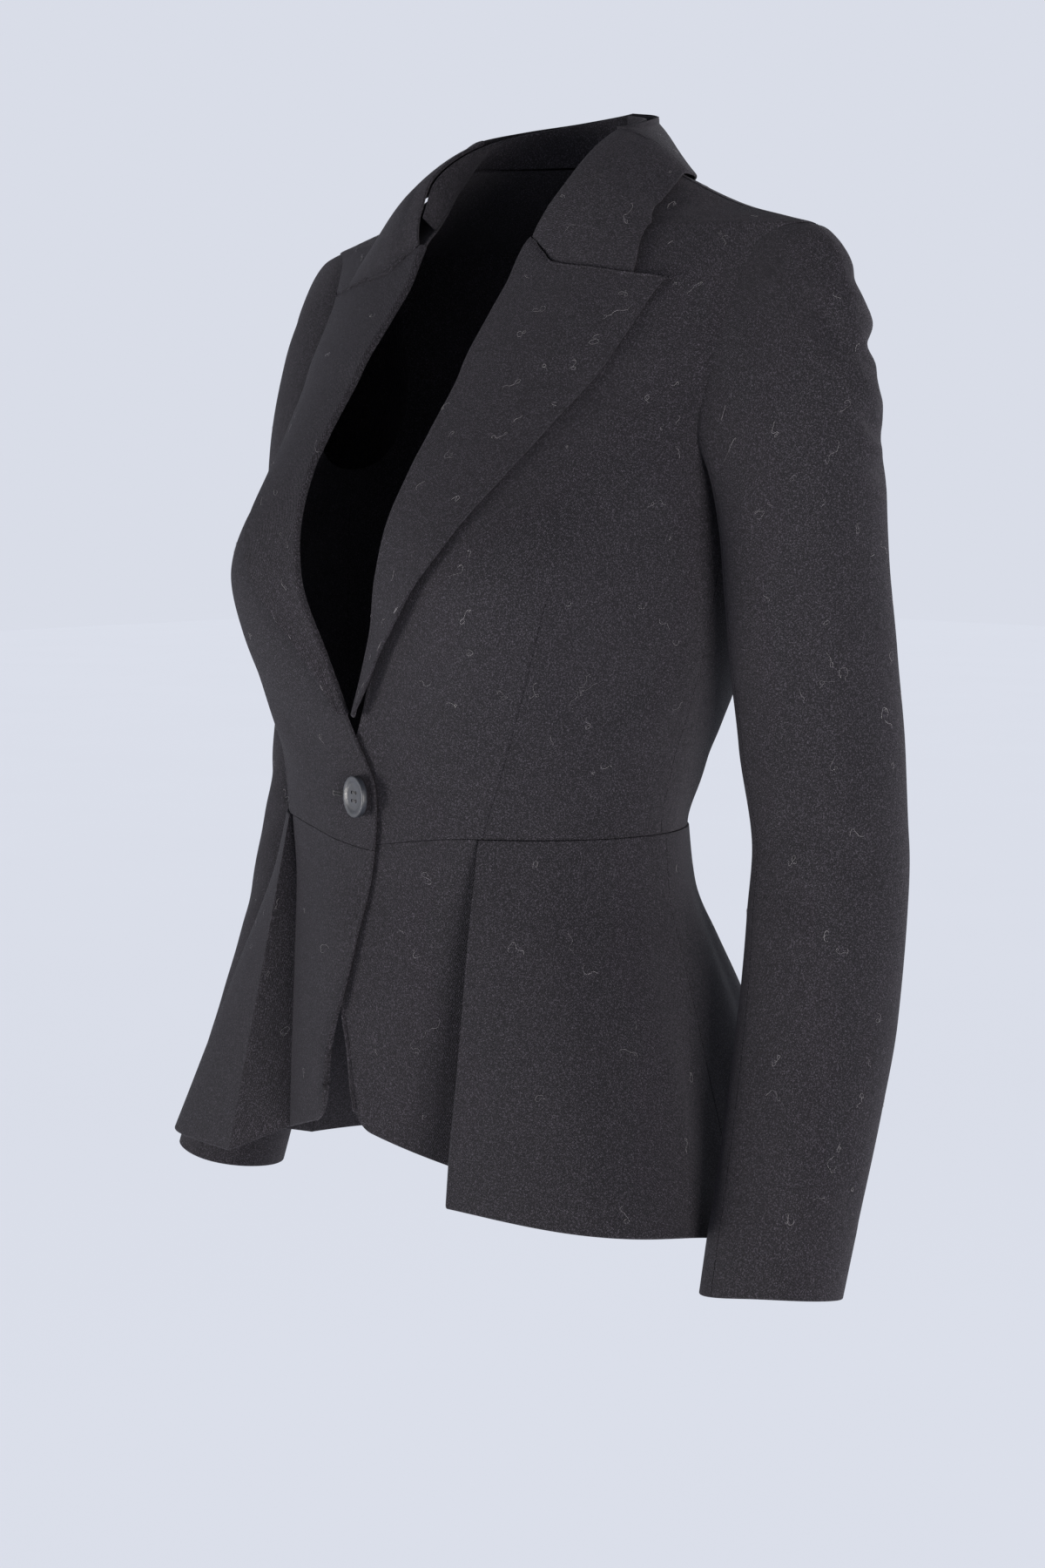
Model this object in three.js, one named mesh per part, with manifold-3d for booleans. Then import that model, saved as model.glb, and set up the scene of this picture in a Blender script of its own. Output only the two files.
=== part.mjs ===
// A woman's cropped, fitted blazer with peak lapels, one button and a flared peplum, in its worn shape.
// Millimetres, +Z up, +X to the wearer's left, the fronts facing -Y.
// Heights are counted from the waist seam, and the finished group is moved so that its origin lies
// at the point between the shoulders where the neck carries it.
import * as THREE from 'three';
import { mergeVertices } from 'three/addons/utils/BufferGeometryUtils.js';
import Module from 'manifold-3d';

const wasm = await Module();
wasm.setup();

const CLOTH = 2.0;            // wall of one layer of the cloth, with its fused backing
const SEAM_GAP = 0.22;        // each piece stops this far short of a seam
const LIE_GAP = 1.2;          // a piece that lies on a panel floats this far over it
const OVERLAP = 1.7;          // half the step between the two fronts where they cross
const HOLD_Y = 25;            // depth of the shoulder ridge, where the neck holds the garment
const HOLD_Z = 350;           // height of that point over the waist seam

const NECK_X = 68;            // neck end of the shoulder seam
const NECK_Z = 371;
const NAPE_Z = 372;
const TIP_X = 188;            // sleeve end of the shoulder seam
const TIP_Z = 327;
const UNDERARM_Z = 195;
const SIDE_ANGLE = 94;        // side seam at the waist, measured round from the centre front
const ARMHOLE_SPREAD = 20.5;  // half the armhole's width, in degrees round the body
const ARMHOLE_SQUARE = 2.4;   // 2 is an ellipse, more is squarer

const BREAK_Z = 56;           // the roll line starts here, just over the button
const PLEAT_X = 80;           // the peplum's pleat starts here at the waist
const BUTTON_X = 6;           // the button stands a little to the left and tips to the right on its thread
const BUTTON_Z = 19;
const BUTTON_TIP = 14;
const BUTTON_RADIUS = 11.5;

// Level rings round the body: half width a, centre depth yc, reach to the front F and to the back B, and
// how round the front half and the back half are (2 is an ellipse, less runs straighter to the shoulder).
const BODY = table([
  { z: -40, a: 131, yc: -27, F: 104, B: 93, round: 2, square: 2 },
  { z: 0, a: 130, yc: -27, F: 100, B: 91, round: 2, square: 2 },
  { z: 35, a: 134, yc: -24, F: 103, B: 111, round: 2, square: 2 },
  { z: 70, a: 142, yc: -17, F: 112, B: 119, round: 2, square: 2 },
  { z: 105, a: 149, yc: -10, F: 123, B: 119, round: 2, square: 2 },
  { z: 140, a: 153, yc: -4, F: 133, B: 117, round: 2, square: 2 },
  { z: 170, a: 156, yc: 2, F: 136, B: 111, round: 2, square: 2 },
  { z: 195, a: 159, yc: 9, F: 134, B: 104, round: 2, square: 2 },
  { z: 215, a: 163, yc: 16, F: 129, B: 98, round: 2, square: 2 },
  { z: 250, a: 171, yc: 25, F: 114, B: 88, round: 1.95, square: 2 },
  { z: 281, a: 175, yc: 25, F: 91, B: 87, round: 1.85, square: 2 },
  { z: 300, a: 179, yc: 25, F: 77, B: 85, round: 1.7, square: 2 },
  { z: 321, a: 186, yc: 25, F: 68, B: 81.5, round: 1.33, square: 1.92 },
  { z: TIP_Z, a: TIP_X, yc: HOLD_Y, F: 63, B: 80, round: 1.25, square: 1.85 },
  { z: 331, a: 174, yc: 25, F: 57, B: 79, round: 1.3, square: 1.78 },
  { z: 339, a: 143, yc: 25, F: 47, B: 77, round: 1.4, square: 1.62 },
  { z: 356, a: 102, yc: 25, F: 28, B: 72, round: 1.6, square: 1.42 },
  { z: NECK_Z, a: NECK_X, yc: HOLD_Y, F: 5, B: 64, round: 2, square: 1.6 },
  { z: 376, a: 58, yc: 25, F: 3, B: 62, round: 2, square: 1.7 },
]);
const BUST = { angle: 38, z: 134, spread: 21, above: 52, below: 75, fullness: 23 };

// Free edge of a front on its own side: below the waist point it crosses the centre (negative x),
// then the roll line climbs to the gorge and the neckline goes on to the shoulder seam.
const FRONT_EDGE = table([
  { z: -12, x: -15 }, { z: 0, x: -16.3 }, { z: 14, x: -16.8 }, { z: 26, x: -15.4 }, { z: 37, x: -10 },
  { z: 47, x: -4 }, { z: BREAK_Z, x: 1 }, { z: 70, x: 7.5 }, { z: 93, x: 18 }, { z: 120, x: 29.5 },
  { z: 146, x: 35.7 }, { z: 170, x: 39.3 }, { z: 200, x: 43.3 }, { z: 236, x: 44.6 },
  { z: 281, x: 43 }, { z: 321, x: 46.5 }, { z: 331, x: 49 }, { z: 342, x: 53.5 },
  { z: 353, x: 58.5 }, { z: 363, x: 63.5 }, { z: NECK_Z, x: NECK_X },
]);
const GORGE_Z = 321;

// Lapel: height on the roll line, and the point of the outer edge that faces it.
const LAPEL = table([
  { z: BREAK_Z, x: 3, outerZ: BREAK_Z + 4 },
  { z: 70, x: 14.5, outerZ: 74 },
  { z: 88, x: 34, outerZ: 100 },
  { z: 108, x: 59, outerZ: 127 },
  { z: 136, x: 80, outerZ: 154 },
  { z: 170, x: 94, outerZ: 187 },
  { z: 205, x: 105, outerZ: 216 },
  { z: 245, x: 118, outerZ: 247 },
  { z: 285, x: 128.5, outerZ: 276 },
  { z: GORGE_Z, x: 135, outerZ: 298 },
]);
const COLLAR_CORNER = { x: 115, z: 299.5 };   // where the collar's front corner stands on the lapel
const LAPEL_START = 7;        // the lapel's cloth begins this far over the break point

// Gorge seam between lapel and collar, and the lapel's own top edge past the collar's corner, by x.
const GORGE = table([
  { z: 44, height: 322 }, { z: 56, height: 314 }, { z: 67, height: 306.5 }, { z: 85, height: 303 },
  { z: COLLAR_CORNER.x, height: COLLAR_CORNER.z }, { z: 137, height: 297.5 },
]);

// Collar, from the gorge round to the centre back: the roll on top, and the fall's outer edge by its
// angle round the body and its height there.
const COLLAR = table([
  { z: 0, rollX: 46, rollY: -43, rollZ: 322, angle: 43, edgeZ: 299 },
  { z: 1, rollX: 54, rollY: -28, rollZ: 345, angle: 44, edgeZ: 315 },
  { z: 2, rollX: 59.5, rollY: -14, rollZ: 363.5, angle: 47.5, edgeZ: 329 },
  { z: 3, rollX: 58, rollY: 4, rollZ: 377, angle: 60, edgeZ: 341 },
  { z: 4, rollX: 53, rollY: 26, rollZ: 387, angle: 92, edgeZ: 356 },
  { z: 5, rollX: 43, rollY: 52, rollZ: 394, angle: 126, edgeZ: 355.5 },
  { z: 6, rollX: 25, rollY: 76, rollZ: 399, angle: 158, edgeZ: 352 },
  { z: 7, rollX: 0, rollY: 88, rollZ: 403, angle: 180, edgeZ: 352 },
]);

// Peplum on one side, from the waist (t 0) to the hem (t 1): each fold and edge with its own drop.
const PEPLUM = table([
  { z: 0, edgeX: -15, edgeY: -128, foldX: 78, foldY: -104, ridgeX: 79, ridgeY: -109.5 },
  { z: 0.25, edgeX: -10.2, edgeY: -133, foldX: 75, foldY: -108, ridgeX: 81.5, ridgeY: -119 },
  { z: 0.5, edgeX: -3.8, edgeY: -138, foldX: 72, foldY: -112.5, ridgeX: 85, ridgeY: -128 },
  { z: 0.75, edgeX: 6, edgeY: -141, foldX: 69.5, foldY: -117, ridgeX: 88.5, ridgeY: -137 },
  { z: 1, edgeX: 13.5, edgeY: -142, foldX: 67, foldY: -121, ridgeX: 92, ridgeY: -146 },
]);
const PEPLUM_RING = table([
  { z: 0, a: 131, yc: -27, F: 101, B: 92 },
  { z: 0.15, a: 133, yc: -27, F: 103, B: 96 },
  { z: 0.3, a: 141, yc: -27, F: 108, B: 110 },
  { z: 0.5, a: 153, yc: -27, F: 115, B: 130 },
  { z: 0.75, a: 167, yc: -27, F: 124, B: 147 },
  { z: 1, a: 180, yc: -27, F: 132, B: 161 },
]);
const PEPLUM_SQUARE = 2.3;
const PEPLUM_LOBE = { angle: 55, spread: 25, fullness: 28, growth: 1.3 };   // the hem swings out most here
const HEM = { edge: -162, fold: -178.5, ridge: -193, side: -218, back: -221 };

// Sleeve rings: centre, half width across the flat tube, half width of its thin way.
const SLEEVE = table([
  { z: -233.5, x: 226.5, y: -37.5, wide: 37.5, thin: 32.5 },
  { z: -195, x: 224.5, y: -25, wide: 39, thin: 33 },
  { z: -140, x: 220.5, y: -5.5, wide: 41.3, thin: 34 },
  { z: -95, x: 216.3, y: 9.7, wide: 42.8, thin: 35 },
  { z: -40, x: 211.8, y: 22, wide: 42.8, thin: 35.5 },
  { z: 0, x: 208, y: 28.5, wide: 42, thin: 36 },
  { z: 50, x: 201, y: 29, wide: 44.5, thin: 36.5 },
  { z: 100, x: 197.5, y: 25, wide: 45, thin: 36 },
  { z: 150, x: 196.5, y: 19, wide: 44.5, thin: 35.8 },
  { z: 190, x: 196, y: 16, wide: 44.5, thin: 36 },
]);
const CUFF_Z = -233.5;
const CUFF_SLANT = { rise: 6.5, turn: 65 };   // the cuff is cut higher towards the outer front
const CAP_END_Z = 150;         // below this the sleeve follows its rings
const SLEEVE_TURN = 46;        // the flat tube's wide way, turned from +X towards +Y
const FRONT_SEAM = 126;        // sleeve seams, in degrees from the outside towards the front
const BACK_SEAM = 270;
const SLEEVE_STEP = 18;
const SLEEVE_WIND = -22;       // the front seam winds this much on its way to the cuff

// Largest sleeve folds: place round the sleeve and height of both ends, depth and width.
const SLEEVE_FOLDS = [
  { angleA: -30, zA: 292, angleB: 28, zB: 246, depth: 5, width: 12 },
  { angleA: -20, zA: 232, angleB: 30, zB: 205, depth: 3, width: 11 },
  { angleA: 20, zA: 55, angleB: 120, zB: 10, depth: 3.5, width: 13 },
  { angleA: 10, zA: 5, angleB: 100, zB: -30, depth: 3.5, width: 13 },
  { angleA: 0, zA: -160, angleB: 80, zB: -195, depth: 2.5, width: 13 },
  { angleA: 200, zA: 60, angleB: 290, zB: 20, depth: 3, width: 14 },
];

const ROWS_SIDE = 10;
const ROWS_ARM = 10;
const COLS_FRONT_INNER = 5;
const COLS_SHOULDER = 10;
const COLS_NECK = 4;
const ROWS_PEPLUM = 8;
const ROWS_SLEEVE_CAP = 8;
const ROWS_SLEEVE = 12;

const wool = { color: 0x232126, roughness: 0.92, metalness: 0 };
const horn = { color: 0x3a3b41, roughness: 0.45, metalness: 0 };

// Smooth interpolation through the rows of a table, column by column, along its first column z.
function table(rows) {
  const keys = Object.keys(rows[0]).filter((key) => key !== 'z');
  const slope = (i, key) => {
    const before = rows[Math.max(i - 1, 0)];
    const after = rows[Math.min(i + 1, rows.length - 1)];
    const here = rows[i];
    const left = i > 0 ? (here[key] - before[key]) / (here.z - before.z) : null;
    const right = i < rows.length - 1 ? (after[key] - here[key]) / (after.z - here.z) : null;
    if (left === null) return right;
    if (right === null) return left;
    return left * right <= 0 ? 0 : (2 * left * right) / (left + right);
  };
  return (z) => {
    let i = 0;
    while (i < rows.length - 2 && z > rows[i + 1].z) i += 1;
    const span = rows[i + 1].z - rows[i].z;
    const s = THREE.MathUtils.clamp((z - rows[i].z) / span, 0, 1);
    const out = {};
    for (const key of keys) {
      const p = rows[i][key];
      const q = rows[i + 1][key];
      const m = slope(i, key) * span;
      const n = slope(i + 1, key) * span;
      out[key] = p + s * (m + s * (3 * (q - p) - 2 * m - n + s * (m + n - 2 * (q - p))));
    }
    return out;
  };
}

const rad = THREE.MathUtils.degToRad;
const mix = THREE.MathUtils.lerp;
const smooth = (value, low, high) => THREE.MathUtils.smoothstep(value, low, high);
const bell = (distance, width) => Math.exp(-((distance / width) ** 2));

// Point of the body's cloth at an angle from the centre front and a height, moved out by `out`.
function body(angle, z) {
  const ring = BODY(z);
  const across = Math.sin(rad(angle));
  const along = Math.cos(rad(angle));
  const reach = along > 0 ? ring.F : ring.B;
  const high = z > BUST.z ? BUST.above : BUST.below;
  const lift = BUST.fullness * bell(Math.abs(angle) - BUST.angle, BUST.spread) * bell(z - BUST.z, high);
  const power = along > 0 ? ring.round : ring.square;
  const size = (Math.abs(across) ** power + Math.abs(along) ** power) ** (-1 / power);
  return new THREE.Vector3((ring.a + lift) * across * size, ring.yc - (reach + lift) * along * size, z);
}

function normalOf(surface, u, v, step = 0.4) {
  const du = surface(u + step, v).sub(surface(u - step, v));
  const dv = surface(u, v + step).sub(surface(u, v - step));
  return du.cross(dv).normalize();
}

const bodyOut = (angle, z, out) => body(angle, z).addScaledVector(normalOf(body, angle, z), out);

// Angle at which the front's cloth at this height stands at the wanted x.
function angleAtX(x, z) {
  let low = -60;
  let high = 88;
  for (let i = 0; i < 40; i += 1) {
    const middle = (low + high) / 2;
    if (body(middle, z).x < x) low = middle;
    else high = middle;
  }
  return (low + high) / 2;
}

// The waist seam dips towards the centre front.
const waistZ = (x) => -11 * (1 - smooth(x, -30, PLEAT_X));

// Armhole: turn 0 at the shoulder, 90 in front, 180 under the arm, 270 behind.
function armhole(turn) {
  const c = Math.cos(rad(turn));
  const s = Math.sin(rad(turn));
  const rounded = (value) => Math.sign(value) * Math.abs(value) ** (2 / ARMHOLE_SQUARE);
  return {
    angle: 90 - ARMHOLE_SPREAD * rounded(s),
    z: (TIP_Z + UNDERARM_Z) / 2 + ((TIP_Z - UNDERARM_Z) / 2) * rounded(c),
  };
}

const sideAngle = (z) => mix(SIDE_ANGLE, 90, smooth(z, 0, UNDERARM_Z));

// A patch over the body between four borders, each a list of {angle, z}; corners are shared.
function patch(bottom, top, left, right) {
  const columns = bottom.length - 1;
  const rows = left.length - 1;
  const grid = [];
  for (let j = 0; j <= rows; j += 1) {
    const v = j / rows;
    const line = [];
    for (let i = 0; i <= columns; i += 1) {
      const u = i / columns;
      const at = {};
      for (const key of ['angle', 'z']) {
        const edges = mix(bottom[i][key], top[i][key], v) + mix(left[j][key], right[j][key], u);
        const corners = mix(mix(bottom[0][key], bottom[columns][key], u),
          mix(top[0][key], top[columns][key], u), v);
        at[key] = edges - corners;
      }
      line.push(at);
    }
    grid.push(line);
  }
  return grid;
}

// Outward directions of a grid of points, from their neighbours.
function facings(grid) {
  const rows = grid.length;
  const columns = grid[0].length;
  return grid.map((line, j) => line.map((p, i) => {
    const east = grid[j][Math.min(i + 1, columns - 1)];
    const west = grid[j][Math.max(i - 1, 0)];
    const north = grid[Math.min(j + 1, rows - 1)][i];
    const south = grid[Math.max(j - 1, 0)][i];
    return east.clone().sub(west).cross(north.clone().sub(south)).normalize();
  }));
}

// Closed wall under a grid of points: the grid is the outer face, the wall lies on its inner side.
function wall(grid, thickness, seams = {}, outward = facings(grid)) {
  const rows = grid.length;
  const columns = grid[0].length;
  const outer = grid.map((line) => line.map((p) => p.clone()));
  const pull = (j, i, nj, ni) => {
    const inward = grid[nj][ni].clone().sub(grid[j][i]).setLength(SEAM_GAP);
    outer[j][i].add(inward);
  };
  for (let i = 0; i < columns; i += 1) {
    if (seams.bottom) pull(0, i, 1, i);
    if (seams.top) pull(rows - 1, i, rows - 2, i);
  }
  for (let j = 0; j < rows; j += 1) {
    if (seams.left) pull(j, 0, j, 1);
    if (seams.right) pull(j, columns - 1, j, columns - 2);
  }
  const sink = (p, j, i) => p.clone().addScaledVector(outward[j][i], -thickness);
  const inner = outer.map((line, j) => line.map((p, i) => sink(p, j, i)));
  const points = [...outer.flat(), ...inner.flat()];
  const count = rows * columns;
  const index = [];
  const quad = (a, b, c, d) => index.push(a, b, c, a, c, d);
  for (let j = 0; j < rows - 1; j += 1) {
    for (let i = 0; i < columns - 1; i += 1) {
      const a = j * columns + i;
      quad(a, a + 1, a + columns + 1, a + columns);
      quad(count + a, count + a + columns, count + a + columns + 1, count + a + 1);
    }
  }
  for (let i = 0; i < columns - 1; i += 1) {
    const last = (rows - 1) * columns + i;
    quad(i, count + i, count + i + 1, i + 1);
    quad(last, last + 1, count + last + 1, count + last);
  }
  for (let j = 0; j < rows - 1; j += 1) {
    const a = j * columns;
    const b = a + columns - 1;
    quad(a, a + columns, count + a + columns, count + a);
    quad(b, count + b, count + b + columns, b + columns);
  }
  return solid(points, index);
}

function solid(points, index) {
  const geometry = new THREE.BufferGeometry();
  geometry.setAttribute('position', new THREE.Float32BufferAttribute(points.flatMap((p) => p.toArray()), 3));
  geometry.setIndex(index);
  geometry.computeVertexNormals();
  return geometry;
}

// The same piece for the wearer's right side.
function mirrored(geometry) {
  const copy = geometry.clone();
  copy.scale(-1, 1, 1);
  const index = Array.from(copy.index.array);
  for (let i = 0; i < index.length; i += 3) index.splice(i, 3, index[i], index[i + 2], index[i + 1]);
  copy.setIndex(index);
  copy.computeVertexNormals();
  return copy;
}

const garment = new THREE.Group();
garment.position.set(0, -HOLD_Y, -HOLD_Z);

function add(name, geometry, finish = wool) {
  const mesh = new THREE.Mesh(geometry, new THREE.MeshStandardMaterial(finish));
  mesh.name = name;
  garment.add(mesh);
}

function addPair(name, geometry) {
  add(`${name}_left`, geometry);
  add(`${name}_right`, mirrored(geometry));
}

const steps = (count, make) => Array.from({ length: count + 1 }, (_, i) => make(i / count, i));

// Heights of the rows up the side seam, and the armhole's turns after them.
const sideRows = steps(ROWS_SIDE, (t) => ({ angle: sideAngle(t * UNDERARM_Z), z: t * UNDERARM_Z }));
const armFront = steps(ROWS_ARM, (t) => armhole(180 * (1 - t)));
const armBack = steps(ROWS_ARM, (t) => armhole(180 + 180 * t));
const shoulder = steps(COLS_SHOULDER, (t) => ({ angle: 90, z: mix(NECK_Z, TIP_Z, t ** 0.8) }));

// Stations of the waist seam: from the front's edge to the pleat, then on to the side seam.
function waistLine() {
  const edge = FRONT_EDGE(-12).x;
  const near = steps(COLS_FRONT_INNER, (t) => mix(edge, PLEAT_X, t));
  const pleatAngle = angleAtX(PLEAT_X, 0);
  const far = steps(COLS_SHOULDER - COLS_FRONT_INNER, (t) => mix(pleatAngle, SIDE_ANGLE, t)).slice(1);
  const line = near.map((x) => ({ angle: angleAtX(x, waistZ(x)), z: waistZ(x) }));
  return [...line, ...far.map((angle) => ({ angle, z: 0 }))];
}

// Where the fronts cross, the wearer's right one lies over the left one.
const crossing = (x) => 1 - smooth(x, 14, 46);

function bodiceFront(side) {
  const bottom = waistLine();
  const right = [...sideRows, ...armFront.slice(1)];
  const heights = right.map((_, j) => mix(bottom[0].z, NECK_Z, j / (right.length - 1)));
  const left = heights.map((z, j) => (j === 0 ? bottom[0] : { angle: angleAtX(FRONT_EDGE(z).x, z), z }));
  left[left.length - 1] = shoulder[0];
  const places = patch(bottom, shoulder, left, right);
  const grid = places.map((line) => line.map((at) => {
    const shift = side * OVERLAP * crossing(body(at.angle, at.z).x) * (1 - smooth(at.z, 60, 110));
    return bodyOut(at.angle, at.z, shift);
  }));
  return { grid, places };
}

function bodiceBack() {
  const bottom = steps(COLS_SHOULDER + COLS_NECK, (t) => ({ angle: mix(SIDE_ANGLE, 180, t), z: 0 }));
  const neck = steps(COLS_NECK, (t) => ({ angle: mix(90, 180, t), z: mix(NECK_Z, NAPE_Z, t) }));
  const top = [...[...shoulder].reverse(), ...neck.slice(1)];
  const left = [...sideRows, ...armBack.slice(1)];
  const right = left.map((_, j) => ({ angle: 180, z: mix(0, NAPE_Z, j / (left.length - 1)) }));
  const places = patch(bottom, top, left, right);
  return { grid: places.map((line) => line.map((at) => body(at.angle, at.z))), places };
}

// A bodice panel leans its wall along the body's own facing, so that neighbours meet without crossing.
function bodicePanel({ grid, places }, seams) {
  const outward = places.map((line) => line.map((at) => normalOf(body, at.angle, at.z)));
  return wall(grid, CLOTH, seams, outward);
}

// The front's own edge isn't sewn, so it keeps its full reach.
const frontSeams = { bottom: true, top: true, right: true };
add('front_left', bodicePanel(bodiceFront(-1), frontSeams));
add('front_right', mirrored(bodicePanel(bodiceFront(1), frontSeams)));
addPair('back', bodicePanel(bodiceBack(), { bottom: true, top: true, left: true, right: true }));

// Lapel: it wraps round the front's edge at the roll line, then lies back over the front.
const ROLL = [{ across: -2.9, over: -1 }, { across: -2.6, over: 1.7 }, { across: -0.5, over: 3.4 }];
const PEAK_X = 135;

// Height over the front at which lapel and collar lie side by side along the gorge.
const lieOver = (x) => LIE_GAP + CLOTH + 1.2 * Math.sin(Math.PI * smooth(x, FRONT_EDGE(GORGE_Z).x, PEAK_X));

function lapel() {
  const rows = 16;
  const columns = 7;
  return steps(rows, (t) => {
    const z = mix(BREAK_Z + LAPEL_START, GORGE_Z, t ** 0.95);
    const outer = LAPEL(z);
    const slope = (FRONT_EDGE(z + 1).x - FRONT_EDGE(z - 1).x) / 2;
    const across = new THREE.Vector2(1, -slope).normalize();
    const edgeX = FRONT_EDGE(z).x;
    const place = (x, straight, over) => {
      const height = mix(straight, GORGE(x).height, smooth(t, 0.72, 1));
      const shift = OVERLAP * crossing(x) * (1 - smooth(height, 60, 110));
      return bodyOut(angleAtX(x, height), height, over + shift);
    };
    const rolled = ROLL.map((r) => place(edgeX + r.across * across.x, z + r.across * across.y, r.over));
    const flat = steps(columns - 1, (s) => {
      const w = mix(2.2 / (outer.x - edgeX), 1, s ** 0.9);
      const over = LIE_GAP + CLOTH + 1.2 * Math.sin(Math.PI * w);
      const x = mix(edgeX, outer.x, w);
      return place(x, mix(z, outer.outerZ, w), mix(over, lieOver(x), smooth(t, 0.8, 1)));
    });
    return [...rolled, ...flat];
  });
}
addPair('lapel', wall(lapel(), CLOTH));

const mirrorPoint = (p) => new THREE.Vector3(-p.x, p.y, p.z);

// Moves a point out along the body's facing until it floats `over` above the body.
function liftOff(point, over) {
  const p = point.clone();
  for (let i = 0; i < 5; i += 1) {
    const ring = BODY(p.z);
    const reach = p.y < ring.yc ? ring.F : ring.B;
    const angle = THREE.MathUtils.radToDeg(Math.atan2(p.x / ring.a, (ring.yc - p.y) / reach));
    const facing = normalOf(body, angle, p.z);
    const height = p.clone().sub(body(angle, p.z)).dot(facing);
    if (height < over) p.addScaledVector(facing, over - height);
  }
  return p;
}

const COLLAR_STEPS = 14;
const COLLAR_COLUMNS = 5;
const COLLAR_BULGE = 4.5;
const neckAxis = new THREE.Vector3(0, 30, 350);

function allRound(half, flipRow) {
  return [...half, ...half.slice(0, -1).map(flipRow).reverse()];
}

// Fall of the collar: over the roll, then down on the fronts, shoulders and back.
function collarFall() {
  const half = steps(COLLAR_STEPS, (t) => {
    const row = COLLAR(7 * t);
    const roll = new THREE.Vector3(row.rollX, row.rollY, row.rollZ);
    const edge = bodyOut(row.angle, row.edgeZ, LIE_GAP + CLOTH + 0.4);
    return steps(COLLAR_COLUMNS, (s) => {
      const p = roll.clone().lerp(edge, s);
      const out = p.clone().sub(neckAxis).setZ(0).normalize().setZ(0.8).normalize();
      p.addScaledVector(out, COLLAR_BULGE * Math.sin(Math.PI * s ** 0.7));
      const x = mix(FRONT_EDGE(GORGE_Z).x - 1, COLLAR_CORNER.x, s);
      const height = GORGE(x).height;
      const seam = bodyOut(angleAtX(x, height), height, lieOver(x)).add(new THREE.Vector3(0, 0.4, 0.8));
      const lifted = liftOff(p, (LIE_GAP + CLOTH + 0.4) * smooth(s, -0.2, 0.1));
      return lifted.lerp(seam, 1 - smooth(t, 0, 0.12));
    });
  });
  return allRound(half, (row) => row.map(mirrorPoint));
}
add('collar_fall', wall(collarFall(), CLOTH));

// Neckline from the gorge over the shoulder seam to the centre back.
function neckline(t) {
  const turnPoint = 8 / COLLAR_STEPS;
  if (t < turnPoint) {
    const z = mix(GORGE_Z, NECK_Z, t / turnPoint);
    return body(angleAtX(Math.min(FRONT_EDGE(z).x, BODY(z).a - 0.3), z), z);
  }
  const s = (t - turnPoint) / (1 - turnPoint);
  return body(mix(90, 180, s), mix(NECK_Z, NAPE_Z, s));
}

// Stand of the collar: from the neckline up to just under the roll.
const STAND_START = 2;
function collarStand() {
  const half = steps(COLLAR_STEPS, (t) => {
    const row = COLLAR(7 * t);
    const seam = neckline(t).add(new THREE.Vector3(0, 0, 1.2));
    const roll = new THREE.Vector3(row.rollX, row.rollY, row.rollZ);
    const inward = neckAxis.clone().sub(roll).setZ(0).normalize();
    const top = roll.addScaledVector(inward, 1.2).add(new THREE.Vector3(0, 0, -2.8));
    return steps(3, (s) => top.clone().lerp(seam, s));
  }).slice(STAND_START);
  return allRound(half, (row) => row.map(mirrorPoint));
}
add('collar_stand', wall(collarStand(), CLOTH));

// Sleeve: the cap grows out of the armhole, then the tube follows its rings down to the cuff.
function sleeveRing(turn, z) {
  const ring = SLEEVE(z);
  const around = rad(-turn) - rad(SLEEVE_TURN);
  const wide = ring.wide * Math.cos(around);
  const thin = ring.thin * Math.sin(around);
  const cos = Math.cos(rad(SLEEVE_TURN));
  const sin = Math.sin(rad(SLEEVE_TURN));
  return new THREE.Vector3(ring.x + wide * cos - thin * sin, ring.y + wide * sin + thin * cos, z);
}

function sleeveCap(turn, t) {
  const at = armhole(turn);
  const out = normalOf(body, at.angle, at.z);
  const top = (1 + Math.cos(rad(turn))) / 2;
  const start = body(at.angle, at.z).addScaledVector(out, 0.6);
  const heading = new THREE.Vector3(mix(0.62, 1, top), -0.25 * Math.sin(rad(turn)), mix(-0.78, -0.05, top));
  start.addScaledVector(heading, 0.3);
  const end = sleeveRing(turn, CAP_END_Z);
  const fall = sleeveRing(turn, CAP_END_Z).sub(sleeveRing(turn, CAP_END_Z + 8)).divideScalar(8);
  const length = start.distanceTo(end);
  const m = heading.setLength(length * mix(0.9, 0.72, top));
  const n = fall.setLength(length * mix(0.9, 1.25, top));
  const t2 = t * t;
  const t3 = t2 * t;
  return start.multiplyScalar(2 * t3 - 3 * t2 + 1).addScaledVector(m, t3 - 2 * t2 + t)
    .addScaledVector(end, 3 * t2 - 2 * t3).addScaledVector(n, t3 - t2);
}

// Depth of the folds at a place on the sleeve.
function foldDepth(folds, turn, z, radius) {
  let depth = 0;
  for (const fold of folds) {
    const ax = rad(fold.angleA) * radius;
    const bx = rad(fold.angleB) * radius;
    for (const wrap of [-360, 0, 360]) {
      const px = rad(turn + wrap) * radius;
      const rise = fold.zB - fold.zA;
      const along = (px - ax) * (bx - ax) + (z - fold.zA) * rise;
      const s = THREE.MathUtils.clamp(along / ((bx - ax) ** 2 + rise ** 2), 0, 1);
      const away = Math.hypot(px - mix(ax, bx, s), z - mix(fold.zA, fold.zB, s));
      depth += fold.depth * bell(away, fold.width) * Math.sin(Math.PI * mix(0.15, 0.85, s));
    }
  }
  return depth;
}

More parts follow.
